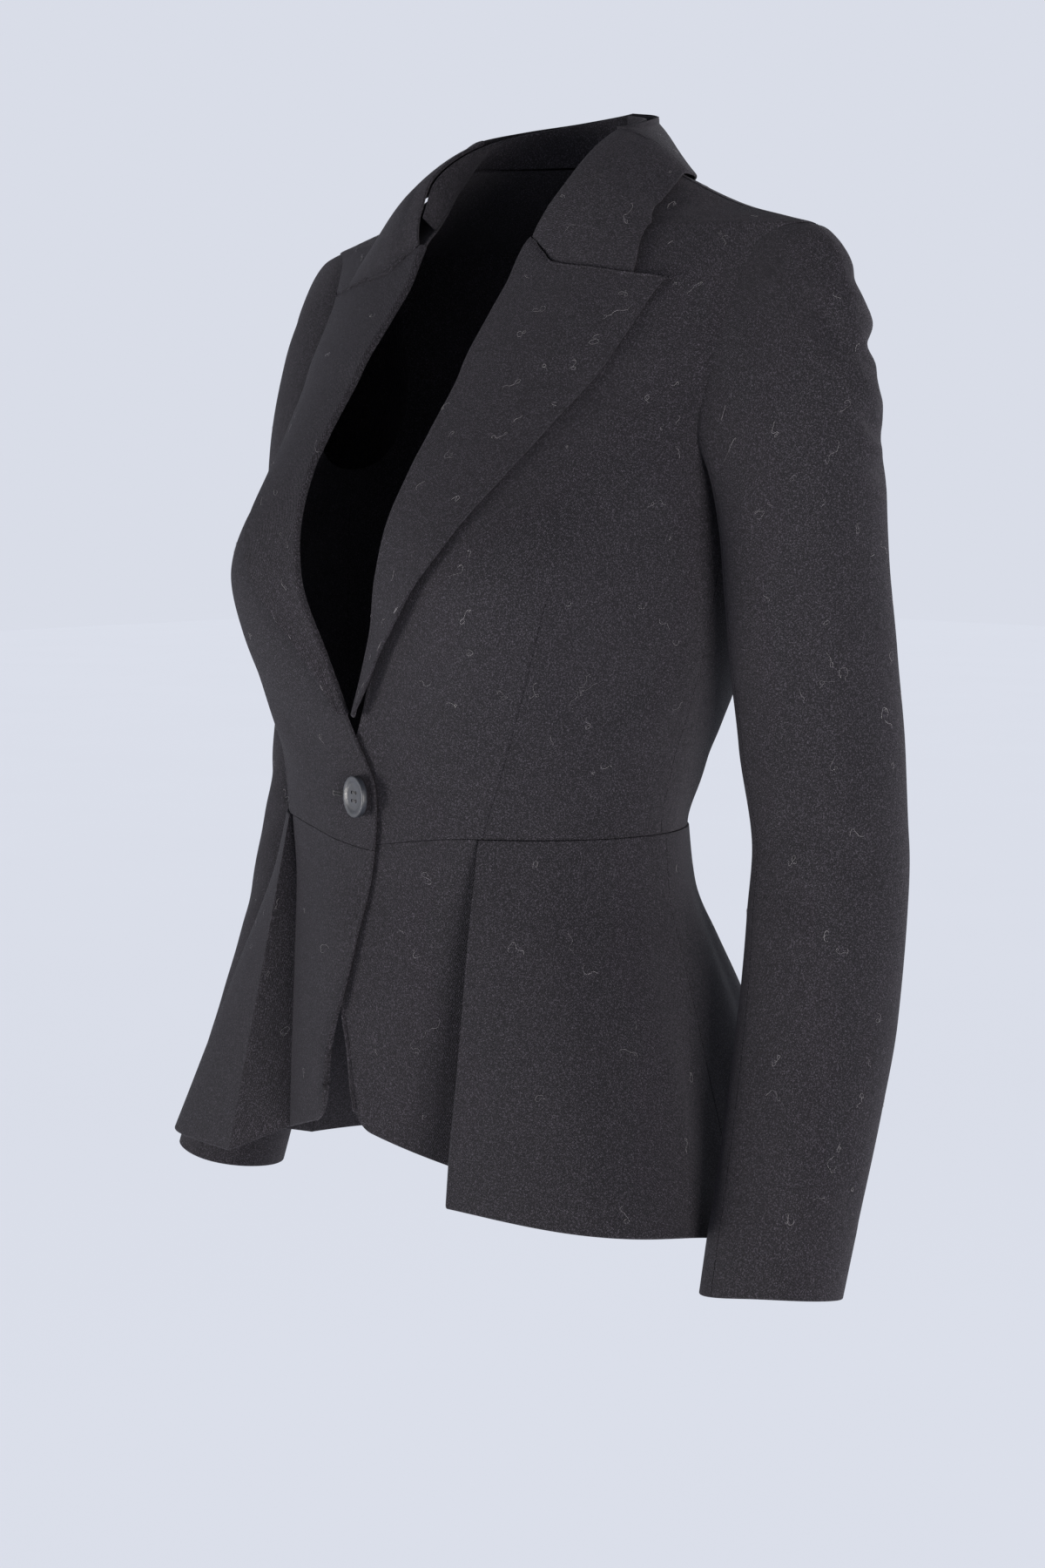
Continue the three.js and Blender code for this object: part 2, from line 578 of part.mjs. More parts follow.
function sleevePoint(turn, row) {
  let p;
  if (row <= ROWS_SLEEVE_CAP) {
    p = sleeveCap(turn, row / ROWS_SLEEVE_CAP);
  } else {
    const t = (row - ROWS_SLEEVE_CAP) / ROWS_SLEEVE;
    const z = mix(CAP_END_Z, CUFF_Z, t);
    p = sleeveRing(turn + SLEEVE_WIND * t * bell(turn - FRONT_SEAM, 70), z);
    p.z += CUFF_SLANT.rise * t ** 4 * Math.cos(rad(turn - CUFF_SLANT.turn));
  }
  const ring = SLEEVE(p.z);
  const inward = new THREE.Vector3(ring.x - p.x, ring.y - p.y, 0).normalize();
  return p.addScaledVector(inward, row < 1 ? 0 : foldDepth(SLEEVE_FOLDS, turn, p.z, 45));
}

function sleevePiece(from, to) {
  const columns = Math.round((to - from) / SLEEVE_STEP);
  const rows = ROWS_SLEEVE_CAP + ROWS_SLEEVE;
  const grid = steps(rows, (_, j) => steps(columns, (t) => sleevePoint(mix(from, to, t), j)));
  const outward = steps(rows, (_, j) => steps(columns, (t) => {
    const turn = mix(from, to, t);
    const low = Math.max(j - 0.5, 0);
    const high = Math.min(j + 0.5, rows);
    const round = sleevePoint(turn + 5, j).sub(sleevePoint(turn - 5, j));
    return round.cross(sleevePoint(turn, high).sub(sleevePoint(turn, low))).normalize();
  }));
  return wall(grid, CLOTH, { left: true, right: true }, outward);
}
addPair('upper_sleeve', sleevePiece(BACK_SEAM - 360, FRONT_SEAM));
addPair('under_sleeve', sleevePiece(FRONT_SEAM, BACK_SEAM));

// Peplum: the flat inner panel, the pleat's return and the flared outer panel are one cloth.
function peplumRing(angle, t) {
  const ring = PEPLUM_RING(t);
  const s = Math.sin(rad(angle));
  const c = Math.cos(rad(angle));
  const power = mix(2, PEPLUM_SQUARE, smooth(t, 0, 0.5));
  const size = (Math.abs(s) ** power + Math.abs(c) ** power) ** (-1 / power);
  const growth = PEPLUM_LOBE.fullness * t ** PEPLUM_LOBE.growth;
  const lobe = growth * bell(angle - PEPLUM_LOBE.angle, PEPLUM_LOBE.spread);
  const reach = (c > 0 ? ring.F : ring.B) + lobe;
  return new THREE.Vector3((ring.a + lobe) * s * size, ring.yc - reach * c * size, 0);
}

function peplumAngle(x, t) {
  let low = 0;
  let high = 90;
  for (let i = 0; i < 40; i += 1) {
    const middle = (low + high) / 2;
    if (peplumRing(middle, t).x < x) low = middle;
    else high = middle;
  }
  return (low + high) / 2;
}

const INNER_COLUMNS = COLS_FRONT_INNER;
const RETURN_COLUMNS = 2;
const OUTER_COLUMNS = 8;
const PEPLUM_SIDE_ANGLE = 96;
const PEPLUM_GAP = 0.5;

const BACK_COLUMNS = 10;

// One half of the peplum from the front's edge to the centre back, as rows from the waist down.
function peplumHalf(side) {
  return steps(ROWS_PEPLUM, (t) => {
    const row = PEPLUM(t);
    const line = [];
    const top = (x) => waistZ(x) - PEPLUM_GAP;
    const fade = 1 - smooth(t, 0.75, 0.95);
    for (let i = 0; i < INNER_COLUMNS; i += 1) {
      const s = i / INNER_COLUMNS;
      const x = mix(row.edgeX, row.foldX, s);
      const drop = mix(HEM.edge, HEM.fold, s);
      const waist = body(angleAtX(x, 0), 0).y;
      const hang = mix(row.edgeY, row.foldY, (Math.abs(x) / row.foldX) ** 1.7);
      const over = side * OVERLAP * crossing(x) * fade;
      line.push(new THREE.Vector3(x, mix(waist, hang, smooth(t, 0, 0.3)) - over, mix(top(x), drop, t)));
    }
    for (let i = 0; i <= RETURN_COLUMNS; i += 1) {
      const s = i / RETURN_COLUMNS;
      const drop = mix(HEM.fold, HEM.ridge, s);
      const y = mix(row.foldY, row.ridgeY, s);
      line.push(new THREE.Vector3(mix(row.foldX, row.ridgeX, s), y, mix(top(PLEAT_X), drop, t)));
    }
    const start = peplumAngle(row.ridgeX, t);
    const proud = peplumRing(start, t).y - row.ridgeY;
    for (let i = 1; i <= OUTER_COLUMNS; i += 1) {
      const s = i / OUTER_COLUMNS;
      const p = peplumRing(mix(start, PEPLUM_SIDE_ANGLE, s), t);
      p.y -= proud * (1 - smooth(s, 0, 0.7));
      p.z = mix(top(PLEAT_X), mix(HEM.ridge, HEM.side, s ** 2), t);
      line.push(p);
    }
    for (let i = 1; i <= BACK_COLUMNS; i += 1) {
      const s = i / BACK_COLUMNS;
      const p = peplumRing(mix(PEPLUM_SIDE_ANGLE, 180, s), t);
      p.z = mix(top(PLEAT_X), mix(HEM.side, HEM.back, smooth(s, 0, 0.7)), t);
      line.push(p);
    }
    return line;
  }).reverse();
}

function peplumPieces(side) {
  const grid = peplumHalf(side);
  const outward = facings(grid);
  outward.forEach((line) => line[line.length - 1].setX(0).normalize());
  const split = INNER_COLUMNS + RETURN_COLUMNS + OUTER_COLUMNS;
  const cut = (rows, from, to) => rows.map((line) => line.slice(from, to));
  const end = grid[0].length;
  return {
    front: wall(cut(grid, 0, split + 1), CLOTH, { right: true }, cut(outward, 0, split + 1)),
    back: wall(cut(grid, split, end), CLOTH, { left: true, right: true }, cut(outward, split, end)),
  };
}
const peplumLeft = peplumPieces(-1);
const peplumRight = peplumPieces(1);
add('peplum_front_left', peplumLeft.front);
add('peplum_front_right', mirrored(peplumRight.front));
add('peplum_back_left', peplumLeft.back);
add('peplum_back_right', mirrored(peplumRight.back));

// Button: a dished disc with four holes, sewn to the upper front at the waist.
function button() {
  const profile = [
    [0, 0], [BUTTON_RADIUS - 1.2, 0], [BUTTON_RADIUS, 1], [BUTTON_RADIUS, 2.6],
    [BUTTON_RADIUS - 1, 3.4], [BUTTON_RADIUS - 2.6, 3.2], [BUTTON_RADIUS - 4, 2.4], [0, 2.4],
  ].map(([x, y]) => new THREE.Vector2(x, y));
  const disc = new THREE.LatheGeometry(profile, 32);
  let shape = asManifold(disc);
  const spacing = 2.3;
  for (const [x, y] of [[1, 1], [-1, 1], [1, -1], [-1, -1]]) {
    const hole = new THREE.CylinderGeometry(0.9, 0.9, 8, 10);
    hole.translate(x * spacing, 0, y * spacing);
    shape = shape.subtract(asManifold(hole));
  }
  const mesh = shape.getMesh();
  const geometry = new THREE.BufferGeometry();
  geometry.setAttribute('position', new THREE.BufferAttribute(mesh.vertProperties, 3));
  geometry.setIndex(new THREE.BufferAttribute(mesh.triVerts, 1));
  geometry.computeVertexNormals();
  return geometry;
}

function asManifold(geometry) {
  const copy = geometry.clone();
  copy.deleteAttribute('normal');
  copy.deleteAttribute('uv');
  const merged = mergeVertices(copy, 1e-5);
  return new wasm.Manifold(new wasm.Mesh({
    numProp: 3,
    vertProperties: new Float32Array(merged.attributes.position.array),
    triVerts: new Uint32Array(merged.index.array),
  }));
}

const disc = button();
const buttonAngle = angleAtX(BUTTON_X, BUTTON_Z);
const upright = new THREE.Vector3(0, 0, 1);
const facing = normalOf(body, buttonAngle, BUTTON_Z).applyAxisAngle(upright, -rad(BUTTON_TIP));
disc.applyQuaternion(new THREE.Quaternion().setFromUnitVectors(new THREE.Vector3(0, 1, 0), facing));
const seat = bodyOut(buttonAngle, BUTTON_Z, OVERLAP - 0.2 + BUTTON_RADIUS * Math.sin(rad(BUTTON_TIP)));
disc.translate(seat.x, seat.y, seat.z);
add('button', disc, horn);

export default garment;
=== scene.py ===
import logging
import math
from dataclasses import dataclass, field, replace
from enum import Enum

import bpy
import numpy as np
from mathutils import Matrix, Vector


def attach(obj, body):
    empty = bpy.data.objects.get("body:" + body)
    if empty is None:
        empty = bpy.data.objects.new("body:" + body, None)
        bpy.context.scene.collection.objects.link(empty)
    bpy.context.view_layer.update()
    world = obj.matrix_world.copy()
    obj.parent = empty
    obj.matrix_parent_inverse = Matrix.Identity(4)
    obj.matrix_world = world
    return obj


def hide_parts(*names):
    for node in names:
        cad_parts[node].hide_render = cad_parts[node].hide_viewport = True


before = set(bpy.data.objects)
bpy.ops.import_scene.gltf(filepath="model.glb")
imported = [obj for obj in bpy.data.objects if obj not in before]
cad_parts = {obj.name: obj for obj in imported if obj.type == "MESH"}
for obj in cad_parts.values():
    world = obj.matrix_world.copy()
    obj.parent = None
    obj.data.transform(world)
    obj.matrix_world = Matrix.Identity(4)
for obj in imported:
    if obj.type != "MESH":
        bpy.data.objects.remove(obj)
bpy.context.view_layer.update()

log = logging.getLogger("blazer")

MM = 0.001
HOLD = np.array([0.0, 25.0, 350.0])   # the neck's hold, counted from the waist seam, in millimetres
CLOTH = 1.9                           # thickness of one layer of the cloth
LIE_GAP = 1.2                         # a piece that lies on a panel floats this far over it
OVERLAP = 1.7                         # half the step between the two fronts where they cross
STEP = 2.6                            # usual distance between two points of a cloth panel


def mix(a, b, t):
    """Returns the value that lies the share t of the way from a to b."""
    return a + (b - a) * t


def smooth(value, low: float, high: float):
    """Returns 0 below low, 1 above high, and a soft step between them."""
    t = np.clip((value - low) / (high - low), 0, 1)
    return t * t * (3 - 2 * t)


def bell(distance, width: float):
    """Returns a soft hill: 1 at no distance, fading over the width."""
    return np.exp(-((distance / width) ** 2))


def unit(vectors: np.ndarray) -> np.ndarray:
    """Returns the vectors at length 1."""
    return vectors / np.maximum(np.linalg.norm(vectors, axis=-1, keepdims=True), 1e-9)


def stack(x, y, z) -> np.ndarray:
    """Returns points from their three coordinates, spread to one shape."""
    return np.stack(np.broadcast_arrays(x, y, z), axis=-1).astype(float)


def to_frame(points: np.ndarray) -> np.ndarray:
    """Moves points from the waist seam's millimetres to metres round the neck's hold."""
    return (points - HOLD) * MM


@dataclass(frozen=True)
class Rows:
    """A short table whose columns are smooth curves along its first column.

    Attributes:
        columns: names of the columns.
        rows: the table's rows, in rising order of the first column.
    """

    columns: tuple[str, ...]
    rows: tuple[tuple[float, ...], ...]

    def at(self, place) -> dict[str, np.ndarray]:
        """Reads every column at a place or an array of places.

        Args:
            place: value or values of the first column.

        Returns:
            The value of each other column, by its name.
        """
        data = np.array(self.rows, float)
        keys = data[:, 0]
        spans = np.diff(keys)
        chords = np.diff(data[:, 1:], axis=0) / spans[:, None]
        before, after = chords[:-1], chords[1:]
        same_way = before * after > 0
        total = np.where(same_way, before + after, 1)
        inner = np.where(same_way, 2 * before * after / total, 0)
        slopes = np.vstack([chords[:1], inner, chords[-1:]])
        place = np.asarray(place, float)
        i = np.searchsorted(keys[1:-1], place, side="left")
        s = np.clip((place - keys[i]) / spans[i], 0, 1)
        out = {}
        for column, name in enumerate(self.columns[1:]):
            p, q = data[i, column + 1], data[i + 1, column + 1]
            m, n = slopes[i, column] * spans[i], slopes[i + 1, column] * spans[i]
            out[name] = p + s * (m + s * (3 * (q - p) - 2 * m - n + s * (m + n - 2 * (q - p))))
        return out


@dataclass(frozen=True)
class Folds:
    """Soft folds drawn on a flat chart that is wrapped round a form.

    Each row is one fold: the turn and height of both ends, how far its middle bows sideways, how deep
    it sinks (a negative depth stands proud) and how wide it is, all in degrees and millimetres.

    Attributes:
        radius: what turns degrees into millimetres on the chart.
        rows: the folds.
    """

    radius: float
    rows: tuple[tuple[float, float, float, float, float, float, float], ...]

    def depth(self, turn: np.ndarray, z: np.ndarray) -> np.ndarray:
        """Returns how deep the folds press the cloth in at each place of the chart."""
        total = np.zeros(np.broadcast(turn, z).shape)
        along = np.linspace(0, 1, 49)
        for turn_a, z_a, turn_b, z_b, bow, deep, width in self.rows:
            ax, bx = math.radians(turn_a) * self.radius, math.radians(turn_b) * self.radius
            length = math.hypot(bx - ax, z_b - z_a)
            swing = bow * np.sin(math.pi * along)
            line_x = mix(ax, bx, along) - swing * (z_b - z_a) / length
            line_z = mix(z_a, z_b, along) + swing * (bx - ax) / length
            fade = np.sin(math.pi * mix(0.06, 0.94, along)) ** 0.8
            for wrap in (-360, 0, 360):
                px = np.radians(turn + wrap) * self.radius
                near = (abs(px - mix(ax, bx, 0.5)) < length / 2 + abs(bow) + 3 * width)
                near &= abs(z - mix(z_a, z_b, 0.5)) < length / 2 + abs(bow) + 3 * width
                if not near.any():
                    continue
                away = np.hypot(px[near][:, None] - line_x, z[near][:, None] - line_z)
                core = (fade * bell(away, width)).max(axis=1)
                flank = (fade * bell(away, 2.3 * width)).max(axis=1)
                total[near] += deep * (1.25 * core - 0.4 * flank)
        return total


@dataclass(frozen=True)
class BodyForm:
    """The general figure that the bodice follows, as level rings with a soft fullness at the bust.

    Angles run round the body from the centre front, 90 at the wearer's left side.
    """

    rings: Rows = Rows(
        ("z", "a", "yc", "F", "B", "round", "square"),
        (
            (-40, 131, -27, 104, 93, 2, 2), (0, 130, -27, 100, 91, 2, 2),
            (35, 134, -24, 103, 111, 2, 2), (70, 142, -17, 112, 119, 2, 2),
            (105, 149, -10, 123, 119, 2, 2), (140, 153, -4, 133, 117, 2, 2),
            (170, 156, 2, 136, 111, 2, 2), (195, 159, 9, 134, 104, 2, 2),
            (215, 163, 16, 129, 98, 2, 2), (250, 171, 25, 114, 88, 1.95, 2),
            (281, 175, 25, 91, 87, 1.85, 2), (300, 179, 25, 77, 85, 1.7, 2),
            (321, 186, 25, 68, 81.5, 1.33, 1.92), (327, 188, 25, 63, 80, 1.25, 1.85),
            (331, 174, 25, 57, 79, 1.3, 1.78), (339, 143, 25, 47, 77, 1.4, 1.62),
            (356, 102, 25, 28, 72, 1.6, 1.42), (371, 68, 25, 5, 64, 2, 1.6),
            (376, 58, 25, 3, 62, 2, 1.7),
        ),
    )
    bust_angle: float = 38
    bust_z: float = 134
    bust_spread: float = 21
    bust_above: float = 52
    bust_below: float = 75
    bust_fullness: float = 23
    chart_radius: float = 140

    def point(self, angle, z) -> np.ndarray:
        """Returns the cloth's place at an angle and a height."""
        angle, z = np.broadcast_arrays(np.asarray(angle, float), np.asarray(z, float))
        ring = self.rings.at(z)
        across, along = np.sin(np.radians(angle)), np.cos(np.radians(angle))
        reach = np.where(along > 0, ring["F"], ring["B"])
        high = np.where(z > self.bust_z, self.bust_above, self.bust_below)
        lift = self.bust_fullness * bell(abs(angle) - self.bust_angle, self.bust_spread)
        lift = lift * bell(z - self.bust_z, high)
        power = np.where(along > 0, ring["round"], ring["square"])
        size = (abs(across) ** power + abs(along) ** power) ** (-1 / power)
        x = (ring["a"] + lift) * across * size
        y = ring["yc"] - (reach + lift) * along * size
        return stack(x, y, z)

    def facing(self, angle, z, step: float = 0.4) -> np.ndarray:
        """Returns the outward direction of the cloth at an angle and a height."""
        du = self.point(angle + step, z) - self.point(angle - step, z)
        dv = self.point(angle, z + step) - self.point(angle, z - step)
        return unit(np.cross(du, dv))

    def out(self, angle, z, over) -> np.ndarray:
        """Returns the place that floats `over` above the cloth."""
        angle, z = np.asarray(angle, float), np.asarray(z, float)
        return self.point(angle, z) + self.facing(angle, z) * np.asarray(over, float)[..., None]

    def angle_at_x(self, x, z) -> np.ndarray:
        """Returns the angle at which the front's cloth at this height stands at the wanted x."""
        x, z = np.broadcast_arrays(np.asarray(x, float), np.asarray(z, float))
        low, high = np.full(x.shape, -60.0), np.full(x.shape, 88.0)
        for _ in range(32):
            middle = (low + high) / 2
            less = self.point(middle, z)[..., 0] < x
            low, high = np.where(less, middle, low), np.where(less, high, middle)
        return (low + high) / 2

    def lift_off(self, points: np.ndarray, over) -> np.ndarray:
        """Moves points out until each floats at least `over` above the cloth."""
        points = points.copy()
        for _ in range(5):
            ring = self.rings.at(points[..., 2])
            reach = np.where(points[..., 1] < ring["yc"], ring["F"], ring["B"])
            angle = np.degrees(np.arctan2(points[..., 0] / ring["a"], (ring["yc"] - points[..., 1]) / reach))
            facing = self.facing(angle, points[..., 2])
            height = ((points - self.point(angle, points[..., 2])) * facing).sum(-1)
            points += facing * np.maximum(over - height, 0)[..., None]
        return points


class Edge(Enum):
    """How a border of a panel ends: sewn into a seam, turned and pressed, or hidden in a fold."""

    SEAM = "seam"
    PRESSED = "pressed"
    HIDDEN = "hidden"


@dataclass
class Panel:
    """One cut piece of the cloth as a grid of points on its outer face.

    Attributes:
        name: name of the piece.
        points: rows by columns by three, in millimetres from the waist seam.
        chart: rows by columns by two, the same points on the flat cloth, in millimetres.
        edges: the four borders, in the order bottom, top, left, right.
    """

    name: str
    points: np.ndarray
    chart: np.ndarray
    edges: tuple[Edge, Edge, Edge, Edge]

    def facings(self) -> np.ndarray:
        """Returns the outward direction at every point, from its neighbours."""
        p = self.points
        rows, columns = p.shape[:2]
        east = p[:, np.minimum(np.arange(columns) + 1, columns - 1)]
        west = p[:, np.maximum(np.arange(columns) - 1, 0)]
        north = p[np.minimum(np.arange(rows) + 1, rows - 1)]
        south = p[np.maximum(np.arange(rows) - 1, 0)]
        return unit(np.cross(east - west, north - south))

    def from_edges(self) -> list[np.ndarray]:
        """Returns the distance of every point from each of the four borders, along the cloth."""
        up = np.linalg.norm(np.diff(self.points, axis=0), axis=-1)
        right = np.linalg.norm(np.diff(self.points, axis=1), axis=-1)
        bottom = np.concatenate([np.zeros((1, up.shape[1])), np.cumsum(up, axis=0)])
        left = np.concatenate([np.zeros((right.shape[0], 1)), np.cumsum(right, axis=1)], axis=1)
        return [bottom, bottom[-1:] - bottom, left, left[:, -1:] - left]

    def mirrored(self, name: str) -> "Panel":
        """Returns the same piece for the other side of the body, under its own name."""
        bottom, top, left, right = self.edges
        points = self.points[:, ::-1] * np.array([-1.0, 1.0, 1.0])
        return Panel(name, points, self.chart[:, ::-1], (bottom, top, right, left))

    def shell(self, thickness: float) -> tuple[np.ndarray, np.ndarray]:
        """Works out the outer and the inner face, with rounded borders.

        Args:
            thickness: how thick the cloth is.

        Returns:
            The outer and the inner grid of points.
        """
        facing = self.facings()
        outer_drop = np.zeros(self.points.shape[:2])
        inner_drop = np.zeros(self.points.shape[:2])
        for edge, distance in zip(self.edges, self.from_edges()):
            radius = thickness * (0.26 if edge is Edge.SEAM else 0.47)
            short = np.clip(radius - distance, 0, radius)
            drop = radius - np.sqrt(np.maximum(radius**2 - short**2, 0))
            outer_drop = np.maximum(outer_drop, drop)
            inner_drop = np.maximum(inner_drop, drop)
        outer = self.points - facing * outer_drop[..., None]
        inner = self.points - facing * (thickness - inner_drop)[..., None]
        return outer, inner


def stations(length: float, step: float = STEP, extra: tuple[float, ...] = ()) -> np.ndarray:
    """Shares along a panel, evenly spaced but for fine steps where its borders round off.

    Args:
        length: rough length of the panel, in millimetres.
        step: usual distance of two stations.
        extra: further places, in millimetres from the start.

    Returns:
        Rising shares from 0 to 1.
    """
    near = np.array([0.1, 0.3, 0.6, 1.0, 1.8])
    middle = np.arange(3.2, length - 3.2, step)
    places = np.concatenate([[0], near, middle, length - near, [length], np.array(extra)])
    places = np.unique(np.round(places, 3))
    keep = np.concatenate([[True], np.diff(places) > 0.08])
    return places[keep] / length


def grid_faces(rows: int, columns: int) -> np.ndarray:
    """Returns the quads of a closed wall made of an outer and an inner grid.

    Args:
        rows: rows of each grid.
        columns: columns of each grid.

    Returns:
        Four point numbers for every face; the inner grid's points follow the outer ones.
    """
    count = rows * columns
    a = (np.arange(rows - 1)[:, None] * columns + np.arange(columns - 1)).ravel()
    outer = np.stack([a, a + 1, a + columns + 1, a + columns], 1)
    inner = np.stack([count + a, count + a + columns, count + a + columns + 1, count + a + 1], 1)
    i = np.arange(columns - 1)
    last = (rows - 1) * columns + i
    bottom = np.stack([i, count + i, count + i + 1, i + 1], 1)
    top = np.stack([last, last + 1, count + last + 1, count + last], 1)
    j = np.arange(rows - 1) * columns
    end = j + columns - 1
    left = np.stack([j, j + columns, count + j + columns, count + j], 1)
    right = np.stack([end, count + end, count + end + columns, end + columns], 1)
    return np.concatenate([outer, inner, bottom, top, left, right])


def new_object(name: str, points: np.ndarray, faces: np.ndarray, smooth_shading: bool = True) -> bpy.types.Object:
    """Makes a mesh object at the origin.

    Args:
        name: name of the piece.
        points: its points, in metres.
        faces: point numbers, one row for each face.
        smooth_shading: whether the faces are shaded as one soft surface.

    Returns:
        The new object, linked to the scene.
    """
    mesh = bpy.data.meshes.new(name)
    mesh.from_pydata(points.tolist(), [], faces.tolist())
    mesh.polygons.foreach_set("use_smooth", [smooth_shading] * len(mesh.polygons))
    mesh.update()
    obj = bpy.data.objects.new(name, mesh)
    bpy.context.scene.collection.objects.link(obj)
    return obj


def cloth_object(panel: Panel, thickness: float = CLOTH) -> bpy.types.Object:
    """Makes the closed thin shell of a panel, with its grain as a UV map.

    Args:
        panel: the cut piece.
        thickness: thickness of the cloth, in millimetres.

    Returns:
        The cloth's object.
    """
    outer, inner = panel.shell(thickness)
    rows, columns = outer.shape[:2]
    points = to_frame(np.concatenate([outer.reshape(-1, 3), inner.reshape(-1, 3)]))
    obj = new_object(panel.name, points, grid_faces(rows, columns))
    chart = np.concatenate([panel.chart.reshape(-1, 2)] * 2) * MM
    corners = np.zeros(len(obj.data.loops), int)
    obj.data.loops.foreach_get("vertex_index", corners)
    layer = obj.data.uv_layers.new(name="grain")
    layer.uv.foreach_set("vector", chart[corners].ravel())
    return obj


def strands(name: str, paths: list[np.ndarray], radius: float, sides: int) -> bpy.types.Object:
    """Makes one joined mesh of thin round threads.

    Args:
        name: name of the piece.
        paths: the threads' routes, in millimetres from the waist seam.
        radius: radius of a thread, in millimetres.
        sides: corners of its section.

    Returns:
        The threads' object.
    """
    points, faces, start = [], [], 0
    turns = np.arange(sides) * 2 * math.pi / sides
    for path in paths:
        heading = unit(np.gradient(path, axis=0))
        aside = unit(np.cross(heading, np.array([0.31, 0.22, 0.93])))
        up = np.cross(heading, aside)
        count = len(path)
        taper = np.ones(count)
        taper[[0, -1]] = 0.45
        ring = aside[:, None] * np.cos(turns)[None, :, None] + up[:, None] * np.sin(turns)[None, :, None]
        points.append((path[:, None] + ring * (radius * taper)[:, None, None]).reshape(-1, 3))
        for k in range(count - 1):
            for s in range(sides):
                a, b = start + k * sides + s, start + k * sides + (s + 1) % sides
                faces.append((a, b, b + sides, a + sides))
        tip = start + (count - 1) * sides
        faces.append(tuple(start + s for s in reversed(range(sides))))
        faces.append(tuple(tip + s for s in range(sides)))
        start += count * sides
    mesh = bpy.data.meshes.new(name)
    mesh.from_pydata(to_frame(np.concatenate(points)).tolist(), [], faces)
    mesh.polygons.foreach_set("use_smooth", [True] * len(mesh.polygons))
    obj = bpy.data.objects.new(name, mesh)
    bpy.context.scene.collection.objects.link(obj)
    return obj


def linear(colour: str) -> tuple[float, float, float, float]:
    """Turns an sRGB hex colour into Blender's linear values."""
    values = [int(colour[i : i + 2], 16) / 255 for i in (1, 3, 5)]
    light = [v / 12.92 if v <= 0.04045 else ((v + 0.055) / 1.055) ** 2.4 for v in values]
    return (*light, 1.0)


def add_node(tree: bpy.types.NodeTree, kind: str, settings: dict | None = None, **inputs) -> bpy.types.Node:
    """Adds a node with its settings, values and links.

    Args:
        tree: the material's node tree.
        kind: Blender's name of the node.
        settings: properties of the node itself.
        inputs: a value or another node's output for each input, with _ for a space in its name.

    Returns:
        The new node.
    """
    node = tree.nodes.new(kind)
    for key, value in (settings or {}).items():
        setattr(node, key, value)
    for key, value in inputs.items():
        socket = node.inputs[int(key[1:])] if key[1:].isdigit() else node.inputs[key.replace("_", " ")]
        if isinstance(value, bpy.types.NodeSocket):
            tree.links.new(value, socket)
        else:
            socket.default_value = value
    return node


def empty_material(name: str) -> tuple[bpy.types.Material, bpy.types.NodeTree]:
    """Returns a new material with an empty node tree."""
    material = bpy.data.materials.new(name)
    material.use_nodes = True
    material.node_tree.nodes.clear()
    return material, material.node_tree


def ramp(tree: bpy.types.NodeTree, value, low: float, high: float, start: float = 0.0, end: float = 1.0):
    """Returns the output of a node that maps low..high to start..end and clips it."""
    node = add_node(tree, "ShaderNodeMapRange", {"clamp": True}, Value=value, From_Min=low, From_Max=high,
                    To_Min=start, To_Max=end)
    return node.outputs["Result"]


